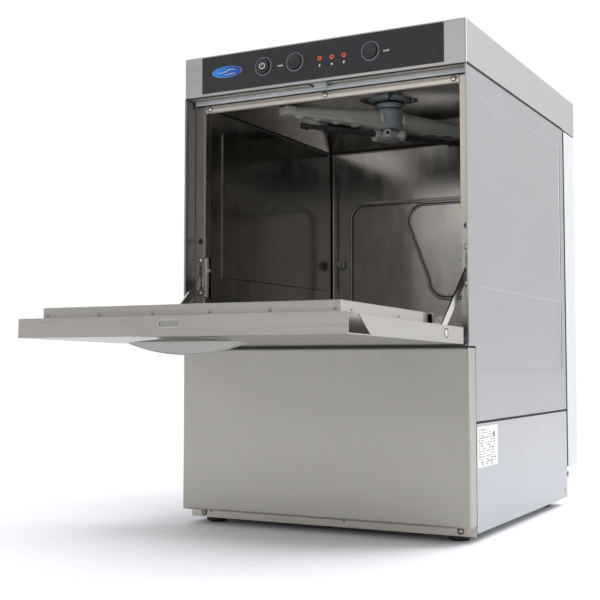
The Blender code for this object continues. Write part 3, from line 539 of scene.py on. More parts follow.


# casing: the sheet metal keeps its shape and takes a finish for the way its grain runs and for the light on it,
# since the finishes are lighter and darker copies of one steel with light and shade painted into their colours
nodeFinishes = {
    "frontSteel": ["front_panel"],
    "hoodSteelLit": ["top_hood"],
    "doorSteel": ["door_outer_panel", "door_inner_liner"],
    "sideSteel": ["left_side_panel", "right_side_panel", "back_panel"],
    "lowerSteelLit": ["left_lower_cover", "right_lower_cover"],
    "frameSteel": ["left_frame_channel", "right_frame_channel"],
    "stripSteel": ["frame_top_strip", "frame_sill"],
    "railSteel": ["kick_rail"],
    "chamberSteel": ["tub", "tank"],
    "ceilingSteelLit": ["tub_ceiling"],
    "brightSteel": ["left_rack_guide", "right_rack_guide", "tank_filter", "left_stay_arm", "right_stay_arm",
                    "boiler"],
    "zinc": ["base_frame", "left_hinge", "right_hinge", "left_stay_spring", "right_stay_spring"],
    "powderCoat": ["rear_cover"],
    "fasciaFilm": ["control_fascia"],
    "blackPlastic": ["wash_pump", "riser_pipe", "power_button", "program_button", "start_button",
                     "overflow_pipe", "inlet_valve", "drain_outlet", "cable_gland"],
    "armPlastic": ["upper_hub", "upper_wash_arm", "upper_rinse_arm", "lower_hub", "lower_wash_arm",
                   "lower_rinse_arm"],
    "guidePlastic": ["left_arm_guide", "right_arm_guide", "detergent_inlet"],
    "latchPlastic": ["latch_housing", "latch_plunger"],
    "sealRubber": ["top_seal"],
    "footRubber": ["front_left_foot", "front_right_foot", "rear_left_foot", "rear_right_foot"],
    "lampLens": ["lamp_1", "lamp_2", "lamp_3"],
    "circuitBoard": ["control_board"],
}
for finish, names in nodeFinishes.items():
    for name in names:
        mesh = nodes[name].data
        mesh.materials.clear()
        mesh.materials.append(finishes[finish])
print("finishes given to the frame's nodes")


def makeFeet():
    # a turned rubber foot with a chamfered face and a groove round it
    foot = {"radius": 15.0, "face": 12.5, "height": 12.0, "groove": 0.8}
    radius, face, height, groove = foot.values()
    profile = [(0, 0.0), (face - 1, 0.0), (face, 0.5), (radius - 0.5, 2.2), (radius, 2.8), (radius, 6.5),
               (radius - groove, 7.0), (radius - groove, 7.8), (radius, 8.3), (radius, height - 0.6),
               (radius - 0.6, height), (0, height)]
    for name in nodeFinishes["footRubber"]:
        addPiece(name + "_moulded", turnedShape(profile, middleOf(name, z=0)), "footRubber",
                 stands=(name,))


def makeControls():
    # push buttons with a dished crown in raised rings, and domed lenses, each over a darker core
    panel = {"ring": 14.4, "ringInner": 11.3, "cap": 10.75, "proud": 6.6, "lens": 3.5, "core": 1.35}
    outer, inner, cap, proud, lens, core = panel.values()
    ring = [(inner, -0.2), (outer - 0.2, -0.2), (outer, 0.6), (outer, 1.6), (outer - 0.5, 2.7),
            (outer - 1.2, 3.3), (outer - 2.0, 3.3), (inner + 0.3, 2.2), (inner, 1.6)]
    crown = [(0, proud - 0.9), (cap * 0.45, proud - 0.75), (cap * 0.72, proud - 0.35), (cap * 0.84, proud),
             (cap - 0.8, proud - 0.1), (cap - 0.1, proud - 0.9), (cap, proud - 1.6), (cap, -5.8), (0, -5.8)]
    for key, body in (("power_button", "power_key"), ("program_button", "program_key"),
                      ("start_button", "start_key")):
        centre = middleOf(key, y=frontY)
        addPiece(key + "_bezel", turnedShape(ring, centre, -back, 56, hollow=True), "bezelPlastic",
                 sharp=50)
        addPiece(key + "_cap", turnedShape(crown, centre, -back, 56), "buttonPlastic", body,
                 (key,), sharp=50)
    dome = [(0, 1.2), (1.5, 1.2), (1.8, 2.2), (2.5, 2.5), (3.2, 2.1), (lens, 1.2), (lens, -3.8), (0, -3.8)]
    shade = [(0, 1.55), (0.9, 1.5), (core, 1.3), (core, 1.0), (0, 1.0)]
    for key in nodeFinishes["lampLens"]:
        centre = middleOf(key, y=frontY)
        addPiece(key + "_lens", turnedShape(dome, centre, -back, 32), "lampLens",
                 stands=(key,), sharp=60)
        addPiece(key + "_core", turnedShape(shade, centre, -back, 20), "lampCore")


def makePrint():
    # plain marks in white ink: dashes beside two buttons, a small sign under each lamp and a power sign
    marks = {"face": -1.42, "ink": 0.15, "dashes": 669.6, "capFace": -6.1, "stroke": 0.62, "arc": 4.3}
    signs = {6.0: [(-0.8, 659.6), (0.8, 659.6), (0.8, 663.4), (-0.8, 663.4)],
             25.3: [(-2.0, 660.2), (2.0, 660.2), (0, 663.4)],
             44.3: [(-1.6, 661.5), (0, 659.4), (1.6, 661.5), (0, 663.9)]}
    ink = bmesh.new()
    for x in (-57.6, 110.2):
        for offset, height in ((-4.2, 1.3), (-2.0, 0.9), (0.6, 1.5), (3.0, 1.0)):
            near, far = x + offset - 0.8, x + offset + 0.9
            low, high = marks["dashes"] - height, marks["dashes"] + height * 0.5
            flatShape([(near, low), (far, low), (far, high), (near, high)], marks["face"], marks["ink"], ink)
    for x, outline in signs.items():
        flatShape([(x + dx, z) for dx, z in outline], marks["face"], marks["ink"], ink)
    addPiece("panel_marks", ink, "whiteInk", smooth=False)
    x, z = (value * 1000 for value in middleOf("power_button").xz)
    arc = [at(x + marks["arc"] * math.sin(a), marks["capFace"], z + marks["arc"] * math.cos(a))
           for a in (math.radians(38 + 284 * k / 24) for k in range(25))]
    sign = tubeShape(arc, marks["stroke"], 8)
    tubeShape([at(x, marks["capFace"], z + h) for h in (0.6, 5.2)], marks["stroke"], 8, sign)
    addPiece("power_sign", sign, "whiteInk", "power_key")


def makeBadge():
    # a plain domed oval with a pale rim, one pale wave and a finer line under it
    badge = {"x": -149.0, "z": 671.5, "half": 26.0, "tall": 8.6, "steps": 48}
    for name, finish, scale, y, dome in (("badge_rim", "badgeRim", 1.0, -1.32, 0.25),
                                         ("badge_field", "badgeEnamel", 0.965, -1.45, 0.45)):
        outlines = []
        for grow, rise in ((1.0, 0.0), (1.0, 0.5), (0.93, 0.85), (0.75, 1.0), (0.4, 1.05)):
            turns = [2 * math.pi * k / badge["steps"] for k in range(badge["steps"])]
            outlines.append([at(badge["x"] + badge["half"] * scale * grow * math.cos(a), y - dome * rise,
                                badge["z"] + badge["tall"] * scale * grow * math.sin(a)) for a in turns])
        addPiece(name, loft(outlines), finish, sharp=60)
    wave = [at(badge["x"] - 1 + t, -2.06, badge["z"] + 0.9 + 2.0 * math.sin(t / 5.2))
            for t in (-16 + 32 * k / 60 for k in range(61))]
    stroke = tubeShape(wave, [0.25 + 0.75 * math.sin(math.pi * k / 60) for k in range(61)], 8, squash=0.3)
    under = [at(badge["x"] + 6 + t, -2.04, badge["z"] - 3.9 + 0.5 * math.sin(t / 7))
             for t in (-9 + 18 * k / 20 for k in range(21))]
    tubeShape(under, 0.35, 6, stroke)
    addPiece("badge_wave", stroke, "whiteInk")


def makeLintel():
    # the folded rail under the hood, the door seal, the toothed edge of the strip, and near-black strips of
    # painted shade under the hood, behind the seal and in the notches
    lintel = {"end": 221.5, "railGap": 16.0, "shadeGap": 14.2, "seal": 220.8, "groove": 221, "lip": 204.4}
    teeth = {"pitch": 3.85, "first": -203.0, "count": 106, "y": 26.85, "rise": 0.9}
    rail, hoodShade = bmesh.new(), bmesh.new()
    for fromX, toX in ((-lintel["end"], -lintel["railGap"]), (lintel["railGap"], lintel["end"])):
        bar((6.8, 14.9), (637.6, 638.4), fromX, toX, rail)
        bar((16.6, 21.4), (637.1, 637.9), fromX, toX, rail)
    addPiece("hood_rail", rail, "railSteel", smooth=False)
    # a near-black strip of painted shadow under the hood
    for fromX, toX in ((-lintel["end"], -lintel["shadeGap"]), (lintel["shadeGap"], lintel["end"])):
        bar((3.0, 22.6), (638.9, 639.5), fromX, toX, hoodShade)
    addPiece("hood_shadow_gasket", hoodShade, "seamShadow", smooth=False)
    seal = [(23.5, 634.4), (23.4, 633.0), (23.7, 632.2), (24.2, 631.9), (26.4, 632.0), (26.9, 632.6),
            (26.9, 638.4), (25.0, 638.6), (24.0, 638.4), (23.6, 637.8), (23.8, 637.2), (23.8, 636.4),
            (23.5, 635.8)]
    addPiece("top_seal_extruded", extruded(seal, -lintel["seal"], lintel["seal"]), "sealRubber",
             stands=("top_seal",), sharp=50)
    # a near-black bar of painted shade behind the seal
    groove = bar((26.2, 27.25), (630.5, 631.9), -lintel["groove"], lintel["groove"])
    addPiece("seal_groove", groove, "seamShadow", smooth=False)
    # the lip takes the lighter steel as a painted highlight along its edge
    lip = roundedBox(at(-lintel["lip"], 26.9, 618.7), at(lintel["lip"], 27.35, 625.4), 0.15, steps=1)
    addPiece("strip_lip", lip, "highlightSteel", sharp=20)
    # near-black blocks of painted shade in the notches of the strip's lower edge
    notch = roundedBox((-0.0011, -0.0010, -0.0004), (0.0011, 0.0010, 0.0005), 0.2, steps=1)
    z = heights("frame_top_strip")[0] + teeth["rise"]
    places = [(at(teeth["first"] + teeth["pitch"] * i, teeth["y"], z), -back, right)
              for i in range(teeth["count"])]
    repeatPart("strip_notches", notch, places, "seamShadow", sharp=20)


def makeLatch():
    # a moulded block round a sprung plunger with a sloping nose
    block = {"half": 13.5, "inner": 10.4, "front": (9.9, 11.3), "back": (17.3, 21.1), "z": (638.6, 657.5),
             "round": 0.5}
    nose = {"half": 9.9, "round": 0.35, "shortest": 0.015}
    across, cheek = (-block["half"], block["half"]), (block["inner"], block["half"])
    whole = (block["front"][0], block["back"][1])
    shape = bmesh.new()
    for side, xs, ys in ((1, across, block["front"]), (1, across, block["back"]), (-1, cheek, whole),
                         (1, cheek, whole)):
        sideBox(side, xs, ys, block["z"], block["round"], shape)
    addPiece("latch_housing_moulded", shape, "latchPlastic",
             stands=("latch_housing",))
    section = [(11.6, 655.5), (11.6, 635.0), (12.6, 632.8), (14.4, 632.5), (16.2, 633.4), (16.8, 635.4),
               (16.8, 655.5)]
    plunger = extruded(section, -nose["half"], nose["half"])
    bmesh.ops.bevel(plunger, geom=[e for e in plunger.edges if e.calc_length() > nose["shortest"]],
                    offset=mm(nose["round"]), segments=2, affect="EDGES")
    addPiece("latch_plunger_moulded", plunger, "latchPlastic", "latch",
             ("latch_plunger",), sharp=25)


def makeFrameDetails():
    # plugs, screws and moulded guides on the front frame
    plug = turnedShape([(0, 1.6), (2.2, 1.5), (3.6, 1.0), (4.2, 0.0), (4.2, -0.6), (0, -0.6)], steps=24)
    repeatPart("frame_plugs", plug, [(at(side * 213.5, 28.3, 423), -back, right) for side in (-1, 1)],
               "blackPlastic")
    places = [(at(side * 213.4, 28.4, z), -back, right) for side in (-1, 1) for z in (394, 344)]
    places += [(at(side * 197.0, 27.1, 625.6), -back, right) for side in (-1, 0, 1)]
    repeatPart("frame_screws", panHead(3.6, 2.2), places, "brightSteel")
    repeatPart("frame_screw_seats", shadeRing(3.0, 4.4), places, "seamShadow")
    smaller = [(at(side * 199.4, 10.4, 637.6), -up, right) for side in (-1, 1)]
    repeatPart("rail_screws", panHead(3.0, 0.4), smaller, "brightSteel")
    guide = {"x": (203.5, 222.2), "y": (30.0, 36.0), "z": (338.0, 397.0), "slot": (211.3, 216.2),
             "run": (349.0, 390.0)}
    (inner, outer), (foot, head) = guide["x"], guide["z"]
    (slotIn, slotOut), (slotFoot, slotHead) = guide["slot"], guide["run"]
    across = (slotIn - 1, slotOut + 1)
    for side, node in ((-1, "left_arm_guide"), (1, "right_arm_guide")):
        shape = bmesh.new()
        for xs, zs in (((inner, slotIn), (foot, head)), ((slotOut, outer), (foot, head)),
                       (across, (foot, slotFoot)), (across, (slotHead, head))):
            sideBox(side, xs, guide["y"], zs, 0.7, shape, 2)
        sideBox(side, (203.4, 205.2), (29.9, 33.0), (337.2, 398.0), 0.6, shape, 2)
        turnedShape([(0, 0.0), (2.6, 0.0), (2.6, 4.0), (2.1, 4.7), (0, 4.7)], at(side * 204.2, 33.0, 378.0),
                    (-side, 0, 0), 20, shape)
        addPiece(node + "_moulded", shape, "guidePlastic", stands=(node,))


def makeChamber():
    # pressed ribs round the raised panels, welded corners, and the folded rim under the ceiling, with dark
    # lines of painted shade and bright lines of painted highlight beside the ribs
    tub = {"floor": 240, "front": 46, "side": 205.0, "sheet": 1.2, "raised": (-166, 166, 260, 532, 0),
           "shield": (-51, 159, 351, 525, 40)}
    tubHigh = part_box("tub")[1]
    wall, top = (tubHigh[1] - frontY) * 1000 - tub["sheet"], tubHigh[2] * 1000 + 0.2
    ribs, shadeLines, highlightLines = bmesh.new(), bmesh.new(), bmesh.new()
    # each bead's panel, its inset from the panel's outline, its corner, how far it stands off and its radius
    for panel, inset, corner, off, radius, shape in (
            ("raised", 0.0, 30, 0.9, 1.1, highlightLines), ("shield", -1.5, 36.5, 3.4, 1.2, highlightLines),
            ("raised", 2.0, 28, 2.2, 1.7, ribs), ("raised", 6.0, 24, 3.3, 1.0, shadeLines),
            ("shield", 0.0, 35, 4.2, 1.9, ribs), ("shield", 5.0, 30, 6.5, 1.5, ribs),
            ("shield", 2.4, 32.5, 6.2, 0.9, shadeLines)):
        lowX, highX, lowZ, highZ, lean = tub[panel]
        loop = roundedLoop(lowX + inset, highX - inset, lowZ + inset, highZ - inset, corner, lean)
        tubeShape([at(x, wall - off, z) for x, z in loop], radius, 10, shape, closed=True)

    def bead(start, stop, radius, shape, sides=8):
        tubeShape([at(*start), at(*stop)], radius, sides, shape)

    for side in (-1, 1):
        x, floor, front = side * tub["side"], tub["floor"], tub["front"]
        bead((side * 201.6, wall - 0.2, floor), (side * 201.6, wall - 0.2, top), 1.3, highlightLines)
        bead((side * 203.9, wall - 0.9, floor), (side * 203.9, wall - 0.9, top), 1.1, shadeLines)
        bead((x, front, top), (x, wall, top), 1.2, shadeLines)
        bead((x, front, top - 2.2), (x, wall, top - 2.2), 0.8, ribs)
        for z in (371.0, 597.0):
            bead((side * 203.4, 76, z), (side * 203.4, 434, z), 0.8, ribs)
        bead((side * 204.6, front, floor), (side * 204.6, wall, floor), 2.2, ribs, 10)
    bead((-tub["side"], wall - 1.0, top), (tub["side"], wall - 1.0, top), 1.7, shadeLines, 10)
    bead((-tub["side"], wall, top - 3.2), (tub["side"], wall, top - 3.2), 1.0, ribs)
    addPiece("chamber_ribs", ribs, "chamberSteel", sharp=60)
    # near-black tubes as painted shade, and bright steel tubes as painted highlight
    addPiece("chamber_grooves", shadeLines, "seamShadow", sharp=60)
    addPiece("chamber_beads", highlightLines, "brightSteel", sharp=60)
    profile = [(0, 12.6), (3.2, 12.8), (3.6, 13.6), (5.2, 13.4), (5.9, 12.4), (6.0, 7.0), (7.6, 6.6),
               (9.3, 6.0), (9.5, 5.0), (9.5, 0.0), (0, 0.0)]
    centre = middleOf("detergent_inlet", y=tubHigh[1] - mm(tub["sheet"]))
    addPiece("detergent_inlet_moulded", turnedShape(profile, centre, -back, 8), "guidePlastic",
             stands=("detergent_inlet",))


def armShape(reach, root, tip, angle, steps=26):
    # one blade from the hub outwards: a round-shouldered tube that flattens towards its squared end,
    # with a moulded flange a third of the way up; root and tip are half width, low and high
    outline = [(0.0, 0.0), (0.45, 0.0), (0.76, 0.05), (0.86, 0.16), (0.88, 0.21), (1.0, 0.22), (1.0, 0.29),
               (0.93, 0.30), (0.95, 0.42), (0.95, 0.56), (0.88, 0.72), (0.74, 0.86), (0.52, 0.95),
               (0.26, 0.99), (0.0, 1.0)]
    outline += [(-y, z) for y, z in reversed(outline[1:-1])]
    start, sections = 15, []
    for i in range(steps + 1):
        t = i / steps
        x = mm(start + (reach - start) * t)
        halfWide, low, high = [mm(a + (b - a) * t) for a, b in zip(root, tip)]
        pinch = {steps: 0.72, steps - 1: 0.95}.get(i, 1.0)
        middle = (low + high) / 2
        low, high = middle + (low - middle) * pinch, middle + (high - middle) * pinch
        sections.append([Vector((x, halfWide * pinch * y, low + (high - low) * z)) for y, z in outline])
    return aroundHub(loft(sections), angle)


def makeWashArm(name, body, node, arm):
    # two blades with squared end caps, a column round the spindle, a pale rim at each root, and jets
    shapes, rims, jets = [], [], []
    halfWide, tipLow, tipHigh = arm["tip"]
    direction, edge = (up, 2) if arm["jetUp"] else (-up, 1)
    low, high = arm["root"][1] - 0.8, arm["root"][2] + 0.6
    core = [(11.7, high), (22.6, high), (23.6, high - 1.0), (23.2, high - 6.0), (21.4, high - 13.0),
            (21.4, low + 12.0), (23.0, low + 5.0), (23.6, low + 1.0), (22.6, low), (11.7, low)]
    rim = (arm["root"][2] - arm["root"][1]) / 2 + 0.5
    rimSection = [(rim - 4, -3.0), (rim - 1, -3.0), (rim, -2.0), (rim, 1.2), (rim - 1, 2.2), (rim - 4, 2.2)]
    addPiece(name + "_hub", turnedShape(core, (0, hubY, 0), up, 56, hollow=True), "columnPlastic", body,
             sharp=50)
    for angle in (arm["angle"], arm["angle"] + math.pi):
        shapes.append(armShape(arm["reach"], arm["root"], arm["tip"], angle))
        rims.append(turnedShape(rimSection, hubPoint(21.0, angle, (low + high) / 2), heading(angle), 44,
                                hollow=True))
        cap = roundedBox((mm(arm["reach"] - 17), mm(-halfWide - 1.0), mm(tipLow - 0.4)),
                         (mm(arm["reach"] + 1.5), mm(halfWide + 1.0), mm(tipHigh + 0.4)), 2.2)
        shapes.append(aroundHub(cap, angle))
        for radius in arm["jets"]:
            t = (radius - 15) / (arm["reach"] - 15)
            height = arm["root"][edge] + (arm["tip"][edge] - arm["root"][edge]) * t
            jets.append((hubPoint(radius, angle, height), direction, heading(angle)))
    addPiece(name, joined(shapes), "armPlastic", body, (node,), sharp=38)
    addPiece(name + "_rims", joined(rims), "rimPlastic", body, sharp=50)
    jet = turnedShape([(2.2, -1.2), (6.0, -1.2), (5.6, 1.6), (4.4, 2.4), (2.6, 2.4)], steps=20, hollow=True)
    for vert in jet.verts:
        vert.co.x *= 1.25
    repeatPart(name + "_jets", jet, jets, arm["jetFinish"], body, sharp=45)


def makeRinseArm(name, body, node, arm):
    # two thin tubes from a collar with six hexagonal bosses, four of them plugged, and small jets
    low, high = arm["low"], arm["high"]
    middle = (low + high) / 2
    centre = hubPoint(0, 0, middle)
    direction, edge = (up, middle + 4.2) if arm["jetUp"] else (-up, middle - 4.2)
    collar = [(11.7, low), (15.8, low), (16.5, low + 1), (16.5, high - 1), (15.8, high), (11.7, high)]
    flange = [(6.8, 27.2), (6.8, 23.4), (7.6, 23.0), (7.6, 19.0), (5.6, 18.0), (5.6, 12.0)]
    openBoss = [(5.4, 28.2)] + flange + [(5.0, 12.0)]
    pluggedBoss = [(0, 25.0), (3.1, 25.0), (3.3, 28.2), (6.0, 28.2)] + flange + [(0, 12.0)]
    plugs, tubes, jets = [], [], []
    shapes = [turnedShape(collar, (0, hubY, 0), up, 48, hollow=True)]
    for angle in (arm["angle"], arm["angle"] + math.pi):
        path = [hubPoint(13 + (arm["reach"] - 13) * k / 16, angle, middle) for k in range(17)]
        tubes.append(tubeShape(path, [5.0 - 0.9 * k / 16 for k in range(17)], 14))
        tubes.append(turnedShape([(0, 1.0), (4.2, 1.0), (5.0, 0.2), (5.0, -6.0), (0, -6.0)],
                                 hubPoint(arm["reach"] - 1, angle, middle), heading(angle), 20))
        shapes.append(turnedShape(openBoss, centre, heading(angle), 8, hollow=True))
        for turn in (0.9, -0.9):
            out = heading(angle + turn)
            shapes.append(turnedShape(pluggedBoss, centre, out, 8))
            plugs.append((hubPoint(25.2, angle + turn, middle), out, up))
        jets += [(hubPoint(radius, angle, edge), direction, heading(angle)) for radius in arm["jets"]]
    addPiece(name, joined(shapes), "armPlastic", body, (node,), sharp=35)
    addPiece(name + "_tubes", joined(tubes), "darkArmPlastic", body, sharp=35)
    plug = turnedShape([(0, 0.0), (1.2, 0.2), (1.4, 1.2), (3.0, 1.2), (3.0, -1.0), (0, -1.0)], steps=16)
    repeatPart(name + "_plugs", plug, plugs, "footRubber", body, sharp=50)
    jet = turnedShape([(0.8, -1.0), (2.8, -1.0), (2.8, 1.4), (1.8, 2.2), (0.9, 2.2)], steps=14, hollow=True)
    repeatPart(name + "_jets", jet, jets, arm["jetFinish"], body, sharp=45)


def makeHubs():
    # the fixed hub hangs from the ceiling: a flange with four lugs, a rubber ring and a column
    lugs = {"angles": (20, 110, 200, 290), "near": 26, "far": 47, "half": 5.5, "webNear": 27, "web": 1.2,
            "curve": 5, "screw": 39}
    centre = (0, hubY, 0)
    foot, neck = heights("upper_hub")
    ceiling, neck = heights("tub_ceiling")[1] - 0.4, neck - 0.2
    column = ceiling - 15.6
    profile = [(0, neck), (12.4, neck), (12.4, ceiling), (33.0, ceiling), (34.0, ceiling - 1.0),
               (33.5, ceiling - 3.4), (29.0, ceiling - 4.6), (24.0, ceiling - 5.4), (23.4, ceiling - 9.0),
               (21.4, ceiling - 10.5), (20.8, ceiling - 14.6), (20.0, column), (11.0, column),
               (11.0, foot + 3.0), (14.6, foot + 3.0), (15.6, foot + 2.2), (15.8, foot + 0.8), (15.0, foot),
               (6.0, foot), (5.0, foot + 1.4), (0, foot + 1.4)]
    addPiece("upper_hub_moulded", turnedShape(profile, centre, up, 56), "columnPlastic",
             stands=("upper_hub",), sharp=40)
    section = [(24.0 + 1.9 * math.cos(a), ceiling - 7.4 + 1.9 * math.sin(a))
               for a in (2 * math.pi * k / 12 for k in range(12))]
    addPiece("upper_hub_ring", turnedShape(section, centre, up, 56, hollow=True), "footRubber")
    made, bolts = [], []
    for angle in lugs["angles"]:
        lug = roundedBox((mm(lugs["near"]), mm(-lugs["half"]), mm(ceiling - 2.4)),
                         (mm(lugs["far"]), mm(lugs["half"]), mm(ceiling - 0.4)), 0.9)
        for vert in lug.verts:
            far = (vert.co.x - mm(lugs["near"])) / mm(lugs["far"] - lugs["near"])
            vert.co.y = vert.co.y * (1 - 0.55 * far) + mm(lugs["curve"]) * far * far
        web = roundedBox((mm(lugs["webNear"]), mm(-lugs["web"]), mm(ceiling - 8.6)),
                         (mm(lugs["far"]), mm(lugs["web"]), mm(ceiling - 1.8)), 0.5)
        for vert in web.verts:
            far = (vert.co.x - mm(lugs["webNear"])) / mm(lugs["far"] - lugs["webNear"])
            vert.co.y += mm(lugs["curve"]) * far * far
            vert.co.z = vert.co.z if vert.co.z > mm(ceiling - 4) else vert.co.z + mm(5.2) * far
        made.append(aroundHub(joined([lug, web]), math.radians(angle)))
        bolts.append((hubPoint(lugs["screw"], math.radians(angle), ceiling - 2.4), -up, right))
    addPiece("upper_hub_lugs", joined(made), "darkArmPlastic", sharp=40)
    repeatPart("upper_hub_screws", panHead(2.2, 1.4), bolts, "brightSteel")
    foot, top = heights("lower_hub")
    profile = [(0, top - 1.2), (4.5, top - 1.2), (5.5, top), (15.0, top), (16.0, top - 0.7), (16.0, top - 2.0),
               (11.0, top - 2.2), (11.0, 242.5), (18.4, 242.5), (19.0, 241.8), (19.0, foot + 8),
               (22.0, foot + 5), (43.5, foot + 4), (45.0, foot + 3), (45.0, foot), (0, foot)]
    addPiece("lower_hub_moulded", turnedShape(profile, centre, up, 56), "columnPlastic",
             stands=("lower_hub",), sharp=40)


def makeArms():
    washJets, rinseJets = (66, 100, 134, 166), (50, 86, 122, 154)
    makeHubs()
    low, high = heights("upper_wash_arm")
    upper = {"root": (15.0, low + 0.8, high - 1.2), "tip": (12.0, low + 7.2, low + 18.6), "reach": 194,
             "angle": math.radians(56), "jets": washJets, "jetUp": False, "jetFinish": "armPlastic"}
    makeWashArm("upper_wash_arm_moulded", "upper_wash", "upper_wash_arm", upper)
    low, high = heights("lower_wash_arm")
    lower = {"root": (15.0, low + 0.8, high - 0.8), "tip": (12.5, low + 1.2, low + 13.2), "reach": 181,
             "angle": math.radians(20), "jets": washJets, "jetUp": True, "jetFinish": "darkArmPlastic"}
    makeWashArm("lower_wash_arm_moulded", "lower_wash", "lower_wash_arm", lower)
    for place, angle, jetUp in (("upper", 57, False), ("lower", 110, True)):
        low, high = heights(place + "_rinse_arm")
        rinse = {"low": low + 0.2, "high": high - 0.2, "reach": 164, "angle": math.radians(angle),
                 "jets": rinseJets, "jetUp": jetUp, "jetFinish": "footRubber"}
        makeRinseArm(place + "_rinse_arm_moulded", place + "_rinse", place + "_rinse_arm", rinse)
    foot, top = heights("overflow_pipe")
    ring = [(12.0, top - 0.3), (12.6, top), (13.9, top), (14.5, top - 0.5), (14.5, foot + 12),
            (14.1, foot + 11), (14.1, foot + 8), (14.5, foot + 7), (14.5, foot), (12.0, foot)]
    addPiece("overflow_pipe_moulded", turnedShape(ring, middleOf("overflow_pipe", z=0), up, 40, hollow=True),
             "blackPlastic", "standpipe", ("overflow_pipe",))


def makeDoor():
    # rivets along the liner's front edge, stay bolts with rings of painted shade, weld marks, the latch keeper
    # with a rim in painted highlight, and plates of painted shade in the liner's pockets
    door = {"rivetReach": 345.9, "rivetHeight": 28.5, "linerSide": 203.0, "side": 222.0, "edge": 368.0}
    keeper = {"half": 15.6, "tall": 4.2, "height": 14.2, "reach": 367.2, "thick": 1.4}
    pocket = {"x": (196.6, 197.2), "reach": (79.5, 114.5), "height": (2.4, 36.6)}

    def onSides(x, reaches, height):
        return [(doorPoint(side * x, reach, height), Vector((side, 0, 0)), doorOut)
                for side in (-1, 1) for reach in reaches]

    rivet = turnedShape([(0, 0.9), (1.2, 0.8), (2.2, 0.4), (2.5, 0.0), (2.5, -0.5), (0, -0.5)], steps=16)
    rivets = [(doorPoint(x, door["rivetReach"], door["rivetHeight"]), doorOut, right)
              for x in (-196, -117, -39, 39, 117, 196)]
    rivets += onSides(door["linerSide"], (60, 190, 320), door["rivetHeight"])
    repeatPart("liner_rivets", rivet, rivets, "zinc", "door")
    bolts = onSides(door["side"], (83,), 12)
    repeatPart("stay_bolts", panHead(5.0, 0.6), bolts, "brightSteel", "door")
    repeatPart("stay_bolt_washers", shadeRing(5.0, 6.2, 0.3), bolts, "seamShadow", "door")
    spot = turnedShape([(0, 0.10), (1.4, 0.08), (1.9, 0.0), (1.9, -0.4), (0, -0.4)], steps=14)
    marks = [(doorPoint(x, door["edge"], 19.5), doorOut, right) for x in (-216, -206, 206, 216)]
    marks += onSides(door["side"], (30, 150, 300), 17.0)
    repeatPart("spot_welds", spot, marks, "doorSteel", "door")
    outline = obround(keeper["half"], keeper["tall"], keeper["height"])
    cup = loft([[doorPoint(x, reach, h) for x, h in outline]
                for reach in (keeper["reach"] - keeper["thick"], keeper["reach"])])
    addPiece("latch_keeper", cup, "pullSteelShaded", "door", sharp=40)
    # the rim takes the lighter steel as a painted highlight round the keeper
    rim = tubeShape([doorPoint(x, door["edge"], h) for x, h in obround(15.2, 4.0, 14.25)], 0.6, 8, closed=True)
    addPiece("latch_keeper_rim", rim, "highlightSteel", "door", sharp=70)
    # the pocket plates take the darker steel as painted shade
    pocketShade, (near, far), (foot, head) = bmesh.new(), pocket["reach"], pocket["height"]
    for side in (-1, 1):
        loft([[doorPoint(side * x, r, h) for r, h in ((near, foot), (near, head), (far, head), (far, foot))]
              for x in pocket["x"]], pocketShade)
    addPiece("liner_pockets", pocketShade, "pullSteelShaded", "door", smooth=False)


def makeHandle():
    # a pressed lens-shaped pull, bellied outwards, with a rolled rim and a mounting flange
    pull = {"half": 81.0, "reach": 332.5, "top": -1.1, "topDrop": 4.7, "bottom": -19.5, "bottomRise": 13.2,
            "belly": 4.5, "sheet": 1.5, "columns": 72, "rows": 20, "rim": 1.0}
    flange = {"half": 40, "reach": (304, 333.5), "height": (-0.35, -1.7), "screws": 28, "screwReach": 314}
    columns, rows = pull["columns"], pull["rows"]

    def surface(u, v, offset):
        top = pull["top"] - pull["topDrop"] * u * u
        bottom = pull["bottom"] + pull["bottomRise"] * u * u
        belly = pull["belly"] * (1 - u * u) * (1.0 - 0.55 * v - 0.45 * v * v) * (0.35 + 0.65 * min(1.0, v * 5))
        belly += 4.0 * (1 - v) * u * u
        return doorPoint(pull["half"] * u, pull["reach"] + belly + offset, top + (bottom - top) * v)

    shape = bmesh.new()
    front, rear = [[[shape.verts.new(surface(2 * i / columns - 1, j / rows, offset))
                     for i in range(columns + 1)] for j in range(rows + 1)] for offset in (0.0, -pull["sheet"])]
    for j in range(rows):
        for i in range(columns):
            for skin in (front, rear):
                shape.faces.new((skin[j][i], skin[j][i + 1], skin[j + 1][i + 1], skin[j + 1][i]))
        for i in (0, columns):
            shape.faces.new((front[j][i], front[j + 1][i], rear[j + 1][i], rear[j][i]))
    for j in (0, rows):
        for i in range(columns):
            shape.faces.new((front[j][i], rear[j][i], rear[j][i + 1], front[j][i + 1]))
    near, far = flange["reach"]
    corners = [(-flange["half"], near), (flange["half"], near), (flange["half"], far), (-flange["half"], far)]
    loft([[doorPoint(x, r, h) for x, r in corners] for h in flange["height"]], shape)
    lip = tubeShape([surface(2 * i / 48 - 1, 1.0, -0.7) for i in range(49)], pull["rim"], 10)
    addPiece("door_handle_pressed", joined([shape, lip]), "pullSteelShaded", "door",
             ("door_handle",), sharp=40)
    heads = [(doorPoint(side * flange["screws"], flange["screwReach"], flange["height"][1]), -doorUp, right)
             for side in (-1, 1)]
    repeatPart("handle_screws", panHead(3.5, 1.8), heads, "brightSteel", "door")


